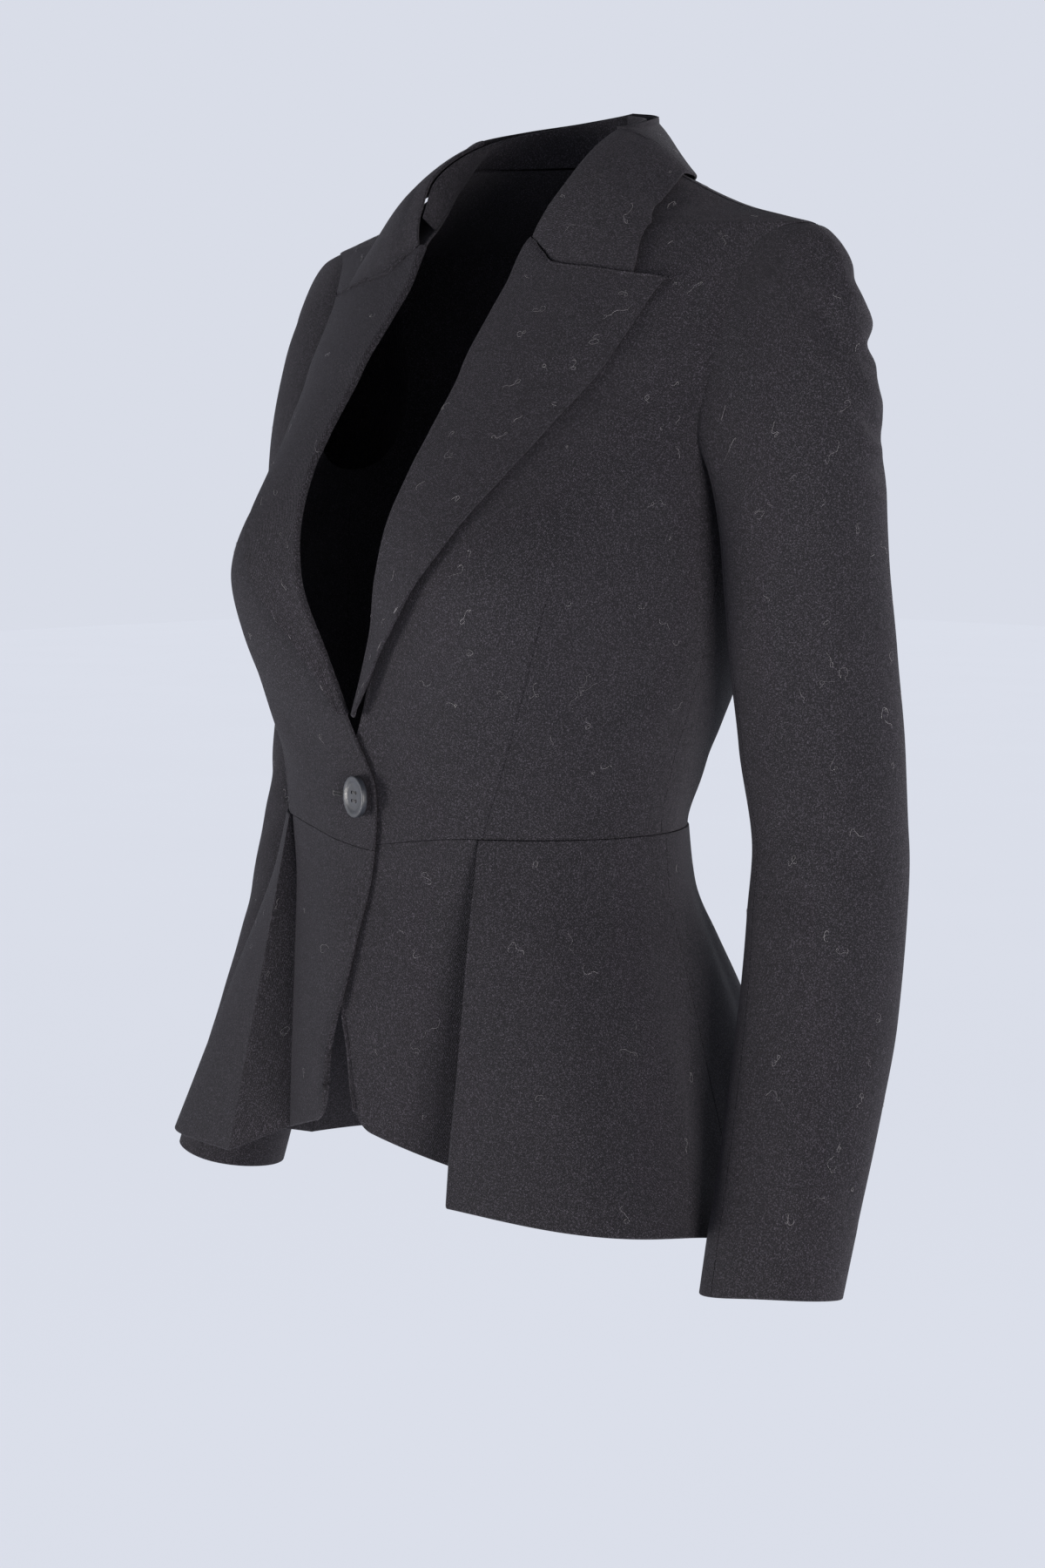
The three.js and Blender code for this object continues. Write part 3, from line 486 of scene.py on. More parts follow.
@dataclass(frozen=True)
class WoolSuiting:
    """Worsted wool twill, fused and pressed, in a near-black with a trace of plum.

    The eye gets a matt, slightly dusty surface: a fine diagonal grain, single paler fibres that break
    it up, and a soft nap that lifts where the cloth turns away.
    """

    name: str = "worsted_wool_suiting"
    shade: str = "#121116"
    worn: str = "#19171c"
    fleck: str = "#4e4a53"
    nap: str = "#8f8b95"
    rib: float = 0.9             # the real rib is about 0.45 mm, drawn twice as coarse so that it shows
    fibre: float = 0.75          # width of one visible tuft of fibres
    cloud: float = 45.0          # size of the soft patches of raised nap
    roughness: float = 0.86
    sheen: float = 0.14
    sheen_roughness: float = 0.45

    def material(self) -> bpy.types.Material:
        """Builds the material."""
        material, tree = empty_material(self.name)
        grain = add_node(tree, "ShaderNodeUVMap", {"uv_map": "grain"}).outputs["UV"]
        place = add_node(tree, "ShaderNodeTexCoord").outputs["Object"]
        waver = add_node(tree, "ShaderNodeTexNoise", None, Vector=place, Scale=1 / (3 * MM), Detail=2.0)
        tilted = add_node(tree, "ShaderNodeMapping", None, Vector=grain, Rotation=(0, 0, math.radians(27)))
        twill = add_node(tree, "ShaderNodeTexWave", {"wave_type": "BANDS", "bands_direction": "X"},
                         Vector=tilted.outputs["Vector"], Scale=2 * math.pi / (20 * self.rib * MM),
                         Distortion=1.6, Detail=2.0, Detail_Scale=1.4)
        fibres = add_node(tree, "ShaderNodeTexNoise", None, Vector=place, Scale=1 / (self.fibre * MM),
                          Detail=3.0, Roughness=0.7)
        clouds = add_node(tree, "ShaderNodeTexNoise", None, Vector=place, Scale=1 / (self.cloud * MM),
                          Detail=4.0, Roughness=0.6)
        flecks = ramp(tree, fibres.outputs["Fac"], 0.5, 0.71, 0.0, 0.64)
        patches = ramp(tree, clouds.outputs["Fac"], 0.35, 0.7, 0.0, 0.4)
        ribs = add_node(tree, "ShaderNodeMath", {"operation": "MULTIPLY"}, i0=twill.outputs["Fac"],
                        i1=ramp(tree, waver.outputs["Fac"], 0.3, 0.7, 0.4, 1.0)).outputs["Value"]
        base = add_node(tree, "ShaderNodeMix", {"data_type": "RGBA"}, i0=patches, i6=linear(self.shade),
                        i7=linear(self.worn)).outputs[2]
        lined = add_node(tree, "ShaderNodeMix", {"data_type": "RGBA", "blend_type": "MULTIPLY"}, i0=0.45,
                         i6=base, i7=ribs).outputs[2]
        flecked = add_node(tree, "ShaderNodeMix", {"data_type": "RGBA"}, i0=flecks, i6=lined,
                           i7=linear(self.fleck)).outputs[2]
        relief = add_node(tree, "ShaderNodeMath", {"operation": "MULTIPLY_ADD"}, i0=fibres.outputs["Fac"],
                          i1=0.9, i2=ribs).outputs["Value"]
        bump = add_node(tree, "ShaderNodeBump", None, Strength=0.7, Distance=0.4 * MM, Height=relief)
        shader = add_node(tree, "ShaderNodeBsdfPrincipled", None, Base_Color=flecked,
                          Roughness=self.roughness, Normal=bump.outputs["Normal"])
        shader.inputs["Sheen Weight"].default_value = self.sheen
        shader.inputs["Sheen Roughness"].default_value = self.sheen_roughness
        shader.inputs["Sheen Tint"].default_value = linear(self.nap)
        shader.inputs["Specular IOR Level"].default_value = 0.22
        add_node(tree, "ShaderNodeOutputMaterial", None, Surface=shader.outputs["BSDF"])
        return material


@dataclass(frozen=True)
class MouldedPolyester:
    """Cast polyester button, turned and tumbled to a satin face, blue-grey with a faint cloud."""

    name: str = "cast_polyester_button"
    shade: str = "#1a1c21"
    vein: str = "#25282f"
    roughness: float = 0.42

    def material(self) -> bpy.types.Material:
        """Builds the material."""
        material, tree = empty_material(self.name)
        place = add_node(tree, "ShaderNodeTexCoord").outputs["Object"]
        clouds = add_node(tree, "ShaderNodeTexNoise", None, Vector=place, Scale=1 / (6 * MM), Detail=3.0,
                          Distortion=1.2)
        scuffs = add_node(tree, "ShaderNodeTexNoise", None, Vector=place, Scale=1 / (0.7 * MM), Detail=2.0)
        tone = ramp(tree, clouds.outputs["Fac"], 0.35, 0.65)
        colour = add_node(tree, "ShaderNodeMix", {"data_type": "RGBA"}, i0=tone, i6=linear(self.shade),
                          i7=linear(self.vein)).outputs[2]
        gloss = ramp(tree, scuffs.outputs["Fac"], 0.3, 0.7, self.roughness - 0.08, self.roughness + 0.12)
        bump = add_node(tree, "ShaderNodeBump", None, Strength=0.15, Distance=0.1 * MM,
                        Height=scuffs.outputs["Fac"])
        shader = add_node(tree, "ShaderNodeBsdfPrincipled", None, Base_Color=colour, Roughness=gloss,
                          Normal=bump.outputs["Normal"])
        shader.inputs["IOR"].default_value = 1.54
        add_node(tree, "ShaderNodeOutputMaterial", None, Surface=shader.outputs["BSDF"])
        return material


@dataclass(frozen=True)
class Thread:
    """Spun fibre: sewing thread of the cloth's shade, or pale loose lint, fuzzy and without gloss."""

    name: str
    shade: str
    pale: str
    roughness: float = 0.9

    def material(self) -> bpy.types.Material:
        """Builds the material."""
        material, tree = empty_material(self.name)
        place = add_node(tree, "ShaderNodeTexCoord").outputs["Object"]
        noise = add_node(tree, "ShaderNodeTexNoise", None, Vector=place, Scale=1 / (9 * MM), Detail=2.0)
        tone = ramp(tree, noise.outputs["Fac"], 0.35, 0.65)
        colour = add_node(tree, "ShaderNodeMix", {"data_type": "RGBA"}, i0=tone, i6=linear(self.shade),
                          i7=linear(self.pale)).outputs[2]
        shader = add_node(tree, "ShaderNodeBsdfPrincipled", None, Base_Color=colour,
                          Roughness=self.roughness)
        shader.inputs["Sheen Weight"].default_value = 0.3
        add_node(tree, "ShaderNodeOutputMaterial", None, Surface=shader.outputs["BSDF"])
        return material


@dataclass(frozen=True)
class PaintedFloor:
    """Matt painted studio floor, lit from within, so that it runs into the backdrop without an edge."""

    name: str = "matt_painted_floor"
    shade: str = "#24262a"
    glow: str = "#dadee9"

    def material(self) -> bpy.types.Material:
        """Builds the material."""
        material, tree = empty_material(self.name)
        place = add_node(tree, "ShaderNodeTexCoord").outputs["Object"]
        noise = add_node(tree, "ShaderNodeTexNoise", None, Vector=place, Scale=1.5, Detail=2.0)
        rough = ramp(tree, noise.outputs["Fac"], 0.3, 0.7, 0.85, 0.95)
        shader = add_node(tree, "ShaderNodeBsdfPrincipled", None, Base_Color=linear(self.shade),
                          Roughness=rough)
        shader.inputs["Emission Color"].default_value = linear(self.glow)
        shader.inputs["Emission Strength"].default_value = 0.955
        add_node(tree, "ShaderNodeOutputMaterial", None, Surface=shader.outputs["BSDF"])
        return material


@dataclass
class Wardrobe:
    """Keeps the finishes and makes every finished piece.

    Attributes:
        wool: material of the cloth.
        panels: cut pieces that are already made, for what lies on them.
    """

    wool: bpy.types.Material
    panels: dict[str, Panel] = field(default_factory=dict)

    def dress(self, panel: Panel) -> bpy.types.Object:
        """Args:
            panel: the cut piece; its name without _cloth is the solid that it stands for.

        Returns:
            The cloth's object.
        """
        obj = cloth_object(panel)
        obj.data.materials.append(self.wool)
        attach(obj, "root")
        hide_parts(panel.name.removesuffix("_cloth"))
        self.panels[panel.name] = panel
        log.info("%s: %d points", panel.name, len(obj.data.vertices))
        return obj

    def dress_pair(self, left: Panel, right: Panel, cut: "Cut", rests_on: str) -> None:
        """Makes the two sides of a piece."""
        for panel, side in ((left, "left"), (right, "right")):
            self.dress(panel)


@dataclass(frozen=True)
class Cut:
    """Flat size of a cut piece, in metres and square metres."""

    width: float
    length: float
    area: float


@dataclass
class Bodice:
    """Two fronts with a dart each and the two halves of the back."""

    form: BodyForm
    front_cut: Cut = Cut(0.235, 0.385, 0.067)
    back_cut: Cut = Cut(0.205, 0.385, 0.0725)
    neck_x: float = 68
    neck_z: float = 371
    nape_z: float = 372
    tip_z: float = 327
    underarm_z: float = 195
    side_angle: float = 94
    armhole_spread: float = 20.5
    armhole_square: float = 2.4
    pleat_x: float = 80
    waist_dip: float = 11
    dart_tip: float = 140
    dart_depth: float = 0.75
    press_line: float = 3.2      # the turned front edge shows as a line this far in
    edge: Rows = Rows(
        ("z", "x"),
        (
            (-12, -15), (0, -16.3), (14, -16.8), (26, -15.4), (37, -10), (47, -4), (56, 1), (70, 7.5),
            (93, 18), (120, 29.5), (146, 35.7), (170, 39.3), (200, 43.3), (236, 44.6), (281, 43),
            (321, 46.5), (331, 49), (342, 53.5), (353, 58.5), (363, 63.5), (371, 68),
        ),
    )
    dart: Rows = Rows(("z", "angle"), ((0, 37.6), (35, 41.5), (78, 44.4), (118, 47), (140, 49.3)))
    front_folds: Folds = Folds(
        140,
        (
            (10, 52, 44, 84, 5, 1.1, 13), (22, 22, 60, 58, 6, 0.9, 12), (52, 66, 80, 92, -5, 1.2, 13),
            (58, 172, 80, 205, 4, -1.3, 16), (62, 150, 86, 178, 4, 1.1, 12), (44, 96, 62, 128, -4, -0.9, 12),
            (66, 20, 92, 44, 4, 1.1, 11), (58, 226, 74, 262, 5, 0.9, 14), (30, 118, 40, 170, 4, -0.6, 16),
            (72, 104, 92, 130, 3, -0.9, 11),
        ),
    )
    other_front_folds: Folds = Folds(
        140,
        (
            (14, 46, 40, 78, -5, 1.0, 13), (26, 18, 66, 50, 5, 1.0, 13), (56, 72, 82, 100, 5, 1.1, 12),
            (56, 168, 78, 198, 4, -1.1, 15), (64, 144, 88, 170, -4, 1.2, 13), (48, 100, 66, 136, 4, -0.8, 12),
            (62, 232, 72, 266, 5, 0.8, 13),
        ),
    )
    back_folds: Folds = Folds(
        140,
        (
            (104, 40, 140, 22, 6, 1.6, 13), (112, 74, 150, 48, -6, 1.3, 14), (100, 118, 128, 92, 5, 1.2, 12),
            (104, 214, 112, 270, 5, 1.3, 14), (118, 196, 124, 240, -4, -1.0, 14), (150, 96, 176, 76, 4, 0.9, 15),
            (98, 168, 116, 142, 5, 1.2, 11), (160, 30, 180, 20, 3, 1.0, 12),
        ),
    )
    other_back_folds: Folds = Folds(
        140,
        (
            (102, 52, 136, 30, -5, 1.4, 13), (114, 86, 154, 62, 6, 1.5, 14), (98, 126, 124, 104, 4, 1.1, 12),
            (105, 208, 110, 262, -5, 1.2, 14), (120, 200, 126, 236, 4, -0.9, 13), (96, 176, 112, 154, 4, 1.1, 11),
        ),
    )

    def waist_z(self, x) -> np.ndarray:
        """Returns the height of the waist seam, which dips towards the centre front."""
        return -self.waist_dip * (1 - smooth(np.asarray(x, float), -30, self.pleat_x))

    def armhole(self, turn) -> tuple[np.ndarray, np.ndarray]:
        """Returns angle and height on the armhole: turn 0 at the shoulder, 90 in front, 180 below."""
        c, s = np.cos(np.radians(turn)), np.sin(np.radians(turn))
        power = 2 / self.armhole_square
        angle = 90 - self.armhole_spread * np.sign(s) * abs(s) ** power
        middle, half = (self.tip_z + self.underarm_z) / 2, (self.tip_z - self.underarm_z) / 2
        return angle, middle + half * np.sign(c) * abs(c) ** power

    def side_border(self, v: np.ndarray, front: bool) -> np.ndarray:
        """Returns the side seam, then the armhole up to the shoulder's tip, as angle and height."""
        z = np.clip(v * 2, 0, 1) * self.underarm_z
        angle = mix(self.side_angle, 90, smooth(z, 0, self.underarm_z))
        t = np.clip(v * 2 - 1, 0, 1)
        arm_angle, arm_z = self.armhole(180 * (1 - t) if front else 180 + 180 * t)
        return np.stack([np.where(v < 0.5, angle, arm_angle), np.where(v < 0.5, z, arm_z)], 1)

    def shoulder_border(self, t: np.ndarray) -> np.ndarray:
        """Returns the shoulder seam from the neck to the tip, as angle and height."""
        return np.stack([np.full(t.shape, 90.0), mix(self.neck_z, self.tip_z, t**0.8)], 1)

    def patch(self, u: np.ndarray, v: np.ndarray, bottom, top, left, right) -> tuple[np.ndarray, np.ndarray]:
        """Fills a patch between four borders of angles and heights.

        Args:
            u: shares along the bottom and top borders.
            v: shares along the side borders.
            bottom: bottom border, one row for each share of u.
            top: top border.
            left: left border, one row for each share of v.
            right: right border.

        Returns:
            The angles and the heights of the patch.
        """
        a, b = u[None, :, None], v[:, None, None]
        edges = mix(bottom[None], top[None], b) + mix(left[:, None], right[:, None], a)
        corners = mix(mix(bottom[0], bottom[-1], a), mix(top[0], top[-1], a), b)
        at = edges - corners
        return at[..., 0], at[..., 1]

    def crossing(self, x, z) -> np.ndarray:
        """Returns how fully a front steps off the other one where they cross."""
        return (1 - smooth(np.asarray(x, float), 14, 46)) * (1 - smooth(np.asarray(z, float), 60, 110))

    def front(self, name: str, step: float, folds: Folds) -> Panel:
        """Cuts one front, drawn for the wearer's left.

        Args:
            name: name of the piece.
            step: 1 where this front lies over the other one, -1 where it lies under it.
            folds: its soft folds.

        Returns:
            The cut piece.
        """
        near_dart = 117 + np.array([-1.9, -0.9, -0.45, -0.2, 0, 0.2, 0.45, 0.9, 1.9])
        u = stations(234, extra=(2.5, 2.9, 3.2, 3.5, 4.0, *near_dart))
        v = stations(390)
        start, pleat = self.edge.at(-12)["x"], self.form.angle_at_x(self.pleat_x, 0)
        x = mix(start, self.pleat_x, np.clip(u * 2, 0, 1))
        far = mix(pleat, self.side_angle, np.clip(u * 2 - 1, 0, 1))
        bottom_z = np.where(u < 0.5, self.waist_z(x), 0)
        bottom = np.stack([np.where(u < 0.5, self.form.angle_at_x(x, bottom_z), far), bottom_z], 1)
        heights = mix(bottom[0, 1], self.neck_z, v)
        left = np.stack([self.form.angle_at_x(self.edge.at(heights)["x"], heights), heights], 1)
        left[-1] = (90, self.neck_z)
        left[0] = bottom[0]
        angle, z = self.patch(u, v, bottom, self.shoulder_border(u), left, self.side_border(v, True))
        middle = int(np.argmin(abs(u - 0.5)))
        shift = self.dart.at(z[:, middle])["angle"] - angle[:, middle]
        shift *= 1 - smooth(z[:, middle], self.dart_tip, self.dart_tip + 70)
        angle = angle + shift[:, None] * (1 - smooth(abs(u - 0.5), 0, 0.45))[None]
        points = self.form.out(angle, z, step * OVERLAP * self.crossing(self.form.point(angle, z)[..., 0], z))
        facing = self.form.facing(angle, z)
        panel = Panel(name, points, self.chart(angle, z), (Edge.SEAM, Edge.SEAM, Edge.PRESSED, Edge.SEAM))
        from_edge = panel.from_edges()[2]
        from_dart = from_edge - from_edge[:, middle : middle + 1]
        strength = 1 - smooth(z, self.dart_tip - 14, self.dart_tip)
        depth = strength * (self.dart_depth * bell(from_dart, 0.45) - 0.5 * bell(from_dart, 4.5))
        depth += 0.22 * bell(from_edge - self.press_line, 0.4) - 0.12 * bell(from_edge - 1.6, 1.0)
        clear = smooth(from_edge, 4, 26) * smooth(panel.from_edges()[3], 0, 24)
        depth += folds.depth(angle, z) * clear
        panel.points = points - facing * depth[..., None]
        return panel

    def back(self, name: str, folds: Folds) -> Panel:
        """Cuts one half of the back, drawn for the wearer's left."""
        u, v = stations(205), stations(390)
        bottom = np.stack([mix(self.side_angle, 180, u), np.zeros(u.shape)], 1)
        share = 10 / 14
        seam = self.shoulder_border(1 - np.clip(u / share, 0, 1))
        t = np.clip((u - share) / (1 - share), 0, 1)
        neck = np.stack([mix(90, 180, t), mix(self.neck_z, self.nape_z, t)], 1)
        top = np.where((u < share)[:, None], seam, neck)
        right = np.stack([np.full(v.shape, 180.0), mix(0, self.nape_z, v)], 1)
        angle, z = self.patch(u, v, bottom, top, self.side_border(v, False), right)
        depth = folds.depth(angle, z) * (1 - smooth(z, 300, 340)) * (1 - smooth(angle, 168, 180))
        depth = depth * smooth(angle, 91, 101)
        points = self.form.point(angle, z) - self.form.facing(angle, z) * depth[..., None]
        return Panel(name, points, self.chart(angle, z), (Edge.SEAM,) * 4)

    def chart(self, angle: np.ndarray, z: np.ndarray) -> np.ndarray:
        """Returns the flat cloth's coordinates of places on the body."""
        return np.stack([np.radians(angle) * self.form.chart_radius, z], -1)

    def build(self, wardrobe: Wardrobe) -> None:
        """Makes the four pieces."""
        left = self.front("front_left_cloth", -1, self.front_folds)
        right = self.front("front_right_cloth", 1, self.other_front_folds).mirrored("front_right_cloth")
        wardrobe.dress_pair(left, right, self.front_cut, "back")
        left = self.back("back_left_cloth", self.back_folds)
        right = self.back("back_right_cloth", self.other_back_folds).mirrored("back_right_cloth")
        wardrobe.dress_pair(left, right, self.back_cut, "front")


@dataclass
class Lapels:
    """The two peak lapels, rolled over the fronts' edges and pressed back on them."""

    bodice: Bodice
    cut: Cut = Cut(0.125, 0.29, 0.0168)
    break_z: float = 56
    start: float = 7
    gorge_z: float = 321
    peak_x: float = 135
    corner_x: float = 115
    roll_radius: float = 2.8
    stand_off: float = 5.0       # the lower lapel's outer edge stands this far off the chest
    bloom: float = 1.2
    outer: Rows = Rows(
        ("z", "x", "outer_z"),
        (
            (56, 3, 60), (70, 14.5, 74), (88, 34, 100), (108, 59, 127), (136, 80, 154), (170, 94, 187),
            (205, 105, 216), (245, 118, 247), (285, 128.5, 276), (321, 135, 298),
        ),
    )
    gorge: Rows = Rows(
        ("x", "height"),
        ((44, 322), (56, 314), (67, 306.5), (85, 303), (115, 299.5), (137, 297.5)),
    )

    def lie_over(self, x) -> np.ndarray:
        """Returns how high over the front the lapel and the collar lie along the gorge."""
        inner = float(self.bodice.edge.at(self.gorge_z)["x"])
        return LIE_GAP + 2 + self.bloom * np.sin(math.pi * smooth(x, inner, self.peak_x))

    def lapel(self, name: str, uneven: float) -> Panel:
        """Cuts one lapel, drawn for the wearer's left.

        Args:
            name: name of the piece.
            uneven: a small shift that keeps the two sides from being alike.

        Returns:
            The cut piece.
        """
        form, bodice = self.bodice.form, self.bodice
        t = stations(275)[:, None]
        z = mix(self.break_z + self.start, self.gorge_z, t**0.95)
        outer = self.outer.at(z)
        slope = (bodice.edge.at(z + 1)["x"] - bodice.edge.at(z - 1)["x"]) / 2
        length = np.hypot(1, slope)
        edge_x = bodice.edge.at(z)["x"]
        turn = np.radians(np.linspace(-38, 90, 9))[None]
        across = -self.roll_radius * np.cos(turn)
        over_roll = 0.6 + 2.7 * np.sin(turn)
        w = mix(1.0 / np.maximum(outer["x"] - edge_x, 6), 1, stations(95, extra=(91.4, 91.8, 92.2))[None])
        flat_x, flat_z = mix(edge_x, outer["x"], w), mix(z, outer["outer_z"], w)
        over_flat = LIE_GAP + 2 + self.bloom * np.sin(math.pi * w)
        over_flat = mix(over_flat, self.lie_over(flat_x), smooth(t, 0.8, 1))
        lift = self.stand_off * w**1.6 * bell(flat_z - 104 - uneven, 48) * (1 - smooth(t, 0.5, 0.8))
        over_flat = over_flat + lift + 0.5 * np.sin(flat_z / 17 + uneven) * w * (1 - smooth(t, 0.6, 0.9))
        x = np.concatenate([edge_x + across / length, flat_x], axis=1)
        straight = np.concatenate([z - across * slope / length, flat_z], axis=1)
        over = np.concatenate([np.broadcast_to(over_roll, across.shape) + 0 * z, over_flat], axis=1)
        height = mix(straight, self.gorge.at(x)["height"], smooth(t, 0.72, 1))
        over = over + OVERLAP * bodice.crossing(x, height)
        angle = form.angle_at_x(x, height)
        points = form.out(angle, height, over)
        edges = (Edge.PRESSED, Edge.PRESSED, Edge.HIDDEN, Edge.PRESSED)
        return Panel(name, points, bodice.chart(angle, height), edges)

    def build(self, wardrobe: Wardrobe) -> None:
        """Makes both lapels."""
        left = self.lapel("lapel_left_cloth", 0)
        right = self.lapel("lapel_right_cloth", 6).mirrored("lapel_right_cloth")
        wardrobe.dress_pair(left, right, self.cut, "front")


@dataclass
class Collar:
    """Collar fall and stand, one piece each from gorge to gorge."""

    lapels: Lapels
    fall_cut: Cut = Cut(0.085, 0.46, 0.0232)
    stand_cut: Cut = Cut(0.033, 0.34, 0.0069)
    bulge: float = 4.5
    stand_start: float = 1.6 / 14
    line: Rows = Rows(
        ("t", "roll_x", "roll_y", "roll_z", "angle", "edge_z"),
        (
            (0, 46, -43, 322, 43, 299), (1, 54, -28, 345, 44, 315), (2, 59.5, -14, 363.5, 47.5, 329),
            (3, 58, 4, 377, 60, 341), (4, 53, 26, 387, 92, 356), (5, 43, 52, 394, 126, 355.5),
            (6, 25, 76, 399, 158, 352), (7, 0, 88, 403, 180, 352),
        ),
    )
    neck_axis: tuple[float, float, float] = (0, 30, 350)

    def roll(self, row: dict[str, np.ndarray]) -> np.ndarray:
        """Returns the points of the roll line."""
        return stack(row["roll_x"], row["roll_y"], row["roll_z"])

    def all_round(self, half: np.ndarray) -> np.ndarray:
        """Adds the mirror image to a half that ends at the centre back."""
        return np.concatenate([half, half[-2::-1] * np.array([-1.0, 1.0, 1.0])])

    def whole(self, name: str, half: np.ndarray, edges: tuple[Edge, Edge, Edge, Edge]) -> Panel:
        """Joins both halves to one panel and lays its chart along its own lengths."""
        panel = Panel(name, self.all_round(half), np.zeros((1, 1, 2)), edges)
        bottom, _, left, _ = panel.from_edges()
        panel.chart = np.stack([bottom, left], -1)
        return panel

    def fall(self) -> Panel:
        """Cuts the fall: over the roll, then down on the fronts, the shoulders and the back."""
        form, lapels = self.lapels.bodice.form, self.lapels
        t, s = stations(225)[:, None], stations(70)[None]
        row = self.line.at(7 * t)
        roll = self.roll(row)
        rest = LIE_GAP + 2 + 0.4
        edge = form.out(row["angle"], row["edge_z"], np.full(row["angle"].shape, rest))
        points = mix(roll, edge, s[..., None])
        out = points - np.array(self.neck_axis)
        out[..., 2] = 0
        out = unit(out)
        out[..., 2] = 0.8
        swell = self.bulge * np.sin(math.pi * s**0.7) + 0.4 * np.sin(9 * t) * s
        points = points + unit(out) * swell[..., None]
        x = mix(float(lapels.bodice.edge.at(lapels.gorge_z)["x"]) - 1, lapels.corner_x, s)
        height = lapels.gorge.at(x)["height"]
        seam = form.out(form.angle_at_x(x, height), height, lapels.lie_over(x)) + np.array([0, 0.25, 0.35])
        lifted = form.lift_off(points, rest * smooth(s, -0.2, 0.1) + 0 * t)
        half = mix(lifted, seam, (1 - smooth(t, 0, 0.12))[..., None])
        return self.whole("collar_fall_cloth", half, (Edge.PRESSED,) * 4)

    def neckline(self, t: np.ndarray) -> np.ndarray:
        """Returns the neckline from the gorge over the shoulder seam to the centre back."""
        bodice, form = self.lapels.bodice, self.lapels.bodice.form
        turn_point = 8 / 14
        z = mix(self.lapels.gorge_z, bodice.neck_z, np.clip(t / turn_point, 0, 1))
        reach = np.minimum(bodice.edge.at(z)["x"], form.rings.at(z)["a"] - 0.3)
        front = form.point(form.angle_at_x(reach, z), z)
        s = np.clip((t - turn_point) / (1 - turn_point), 0, 1)
        back = form.point(mix(90, 180, s), mix(bodice.neck_z, bodice.nape_z, s))
        return np.where((t < turn_point)[..., None], front, back)

    def stand(self) -> Panel:
        """Cuts the stand: from the neckline up to just under the roll."""
        t = mix(self.stand_start, 1, stations(190))[:, None]
        s = stations(32)[None]
        seam = self.neckline(t) + np.array([0, 0, 1.2])
        roll = self.roll(self.line.at(7 * t))
        inward = np.array(self.neck_axis) - roll
        inward[..., 2] = 0
        top = roll + unit(inward) * 1.1 + np.array([0, 0, -1.7])
        half = mix(top, seam, s[..., None])
        return self.whole("collar_stand_cloth", half, (Edge.PRESSED, Edge.PRESSED, Edge.HIDDEN, Edge.SEAM))

    def build(self, wardrobe: Wardrobe) -> None:
        """Makes the fall and the stand."""
        wardrobe.dress(self.fall())
        wardrobe.dress(self.stand())


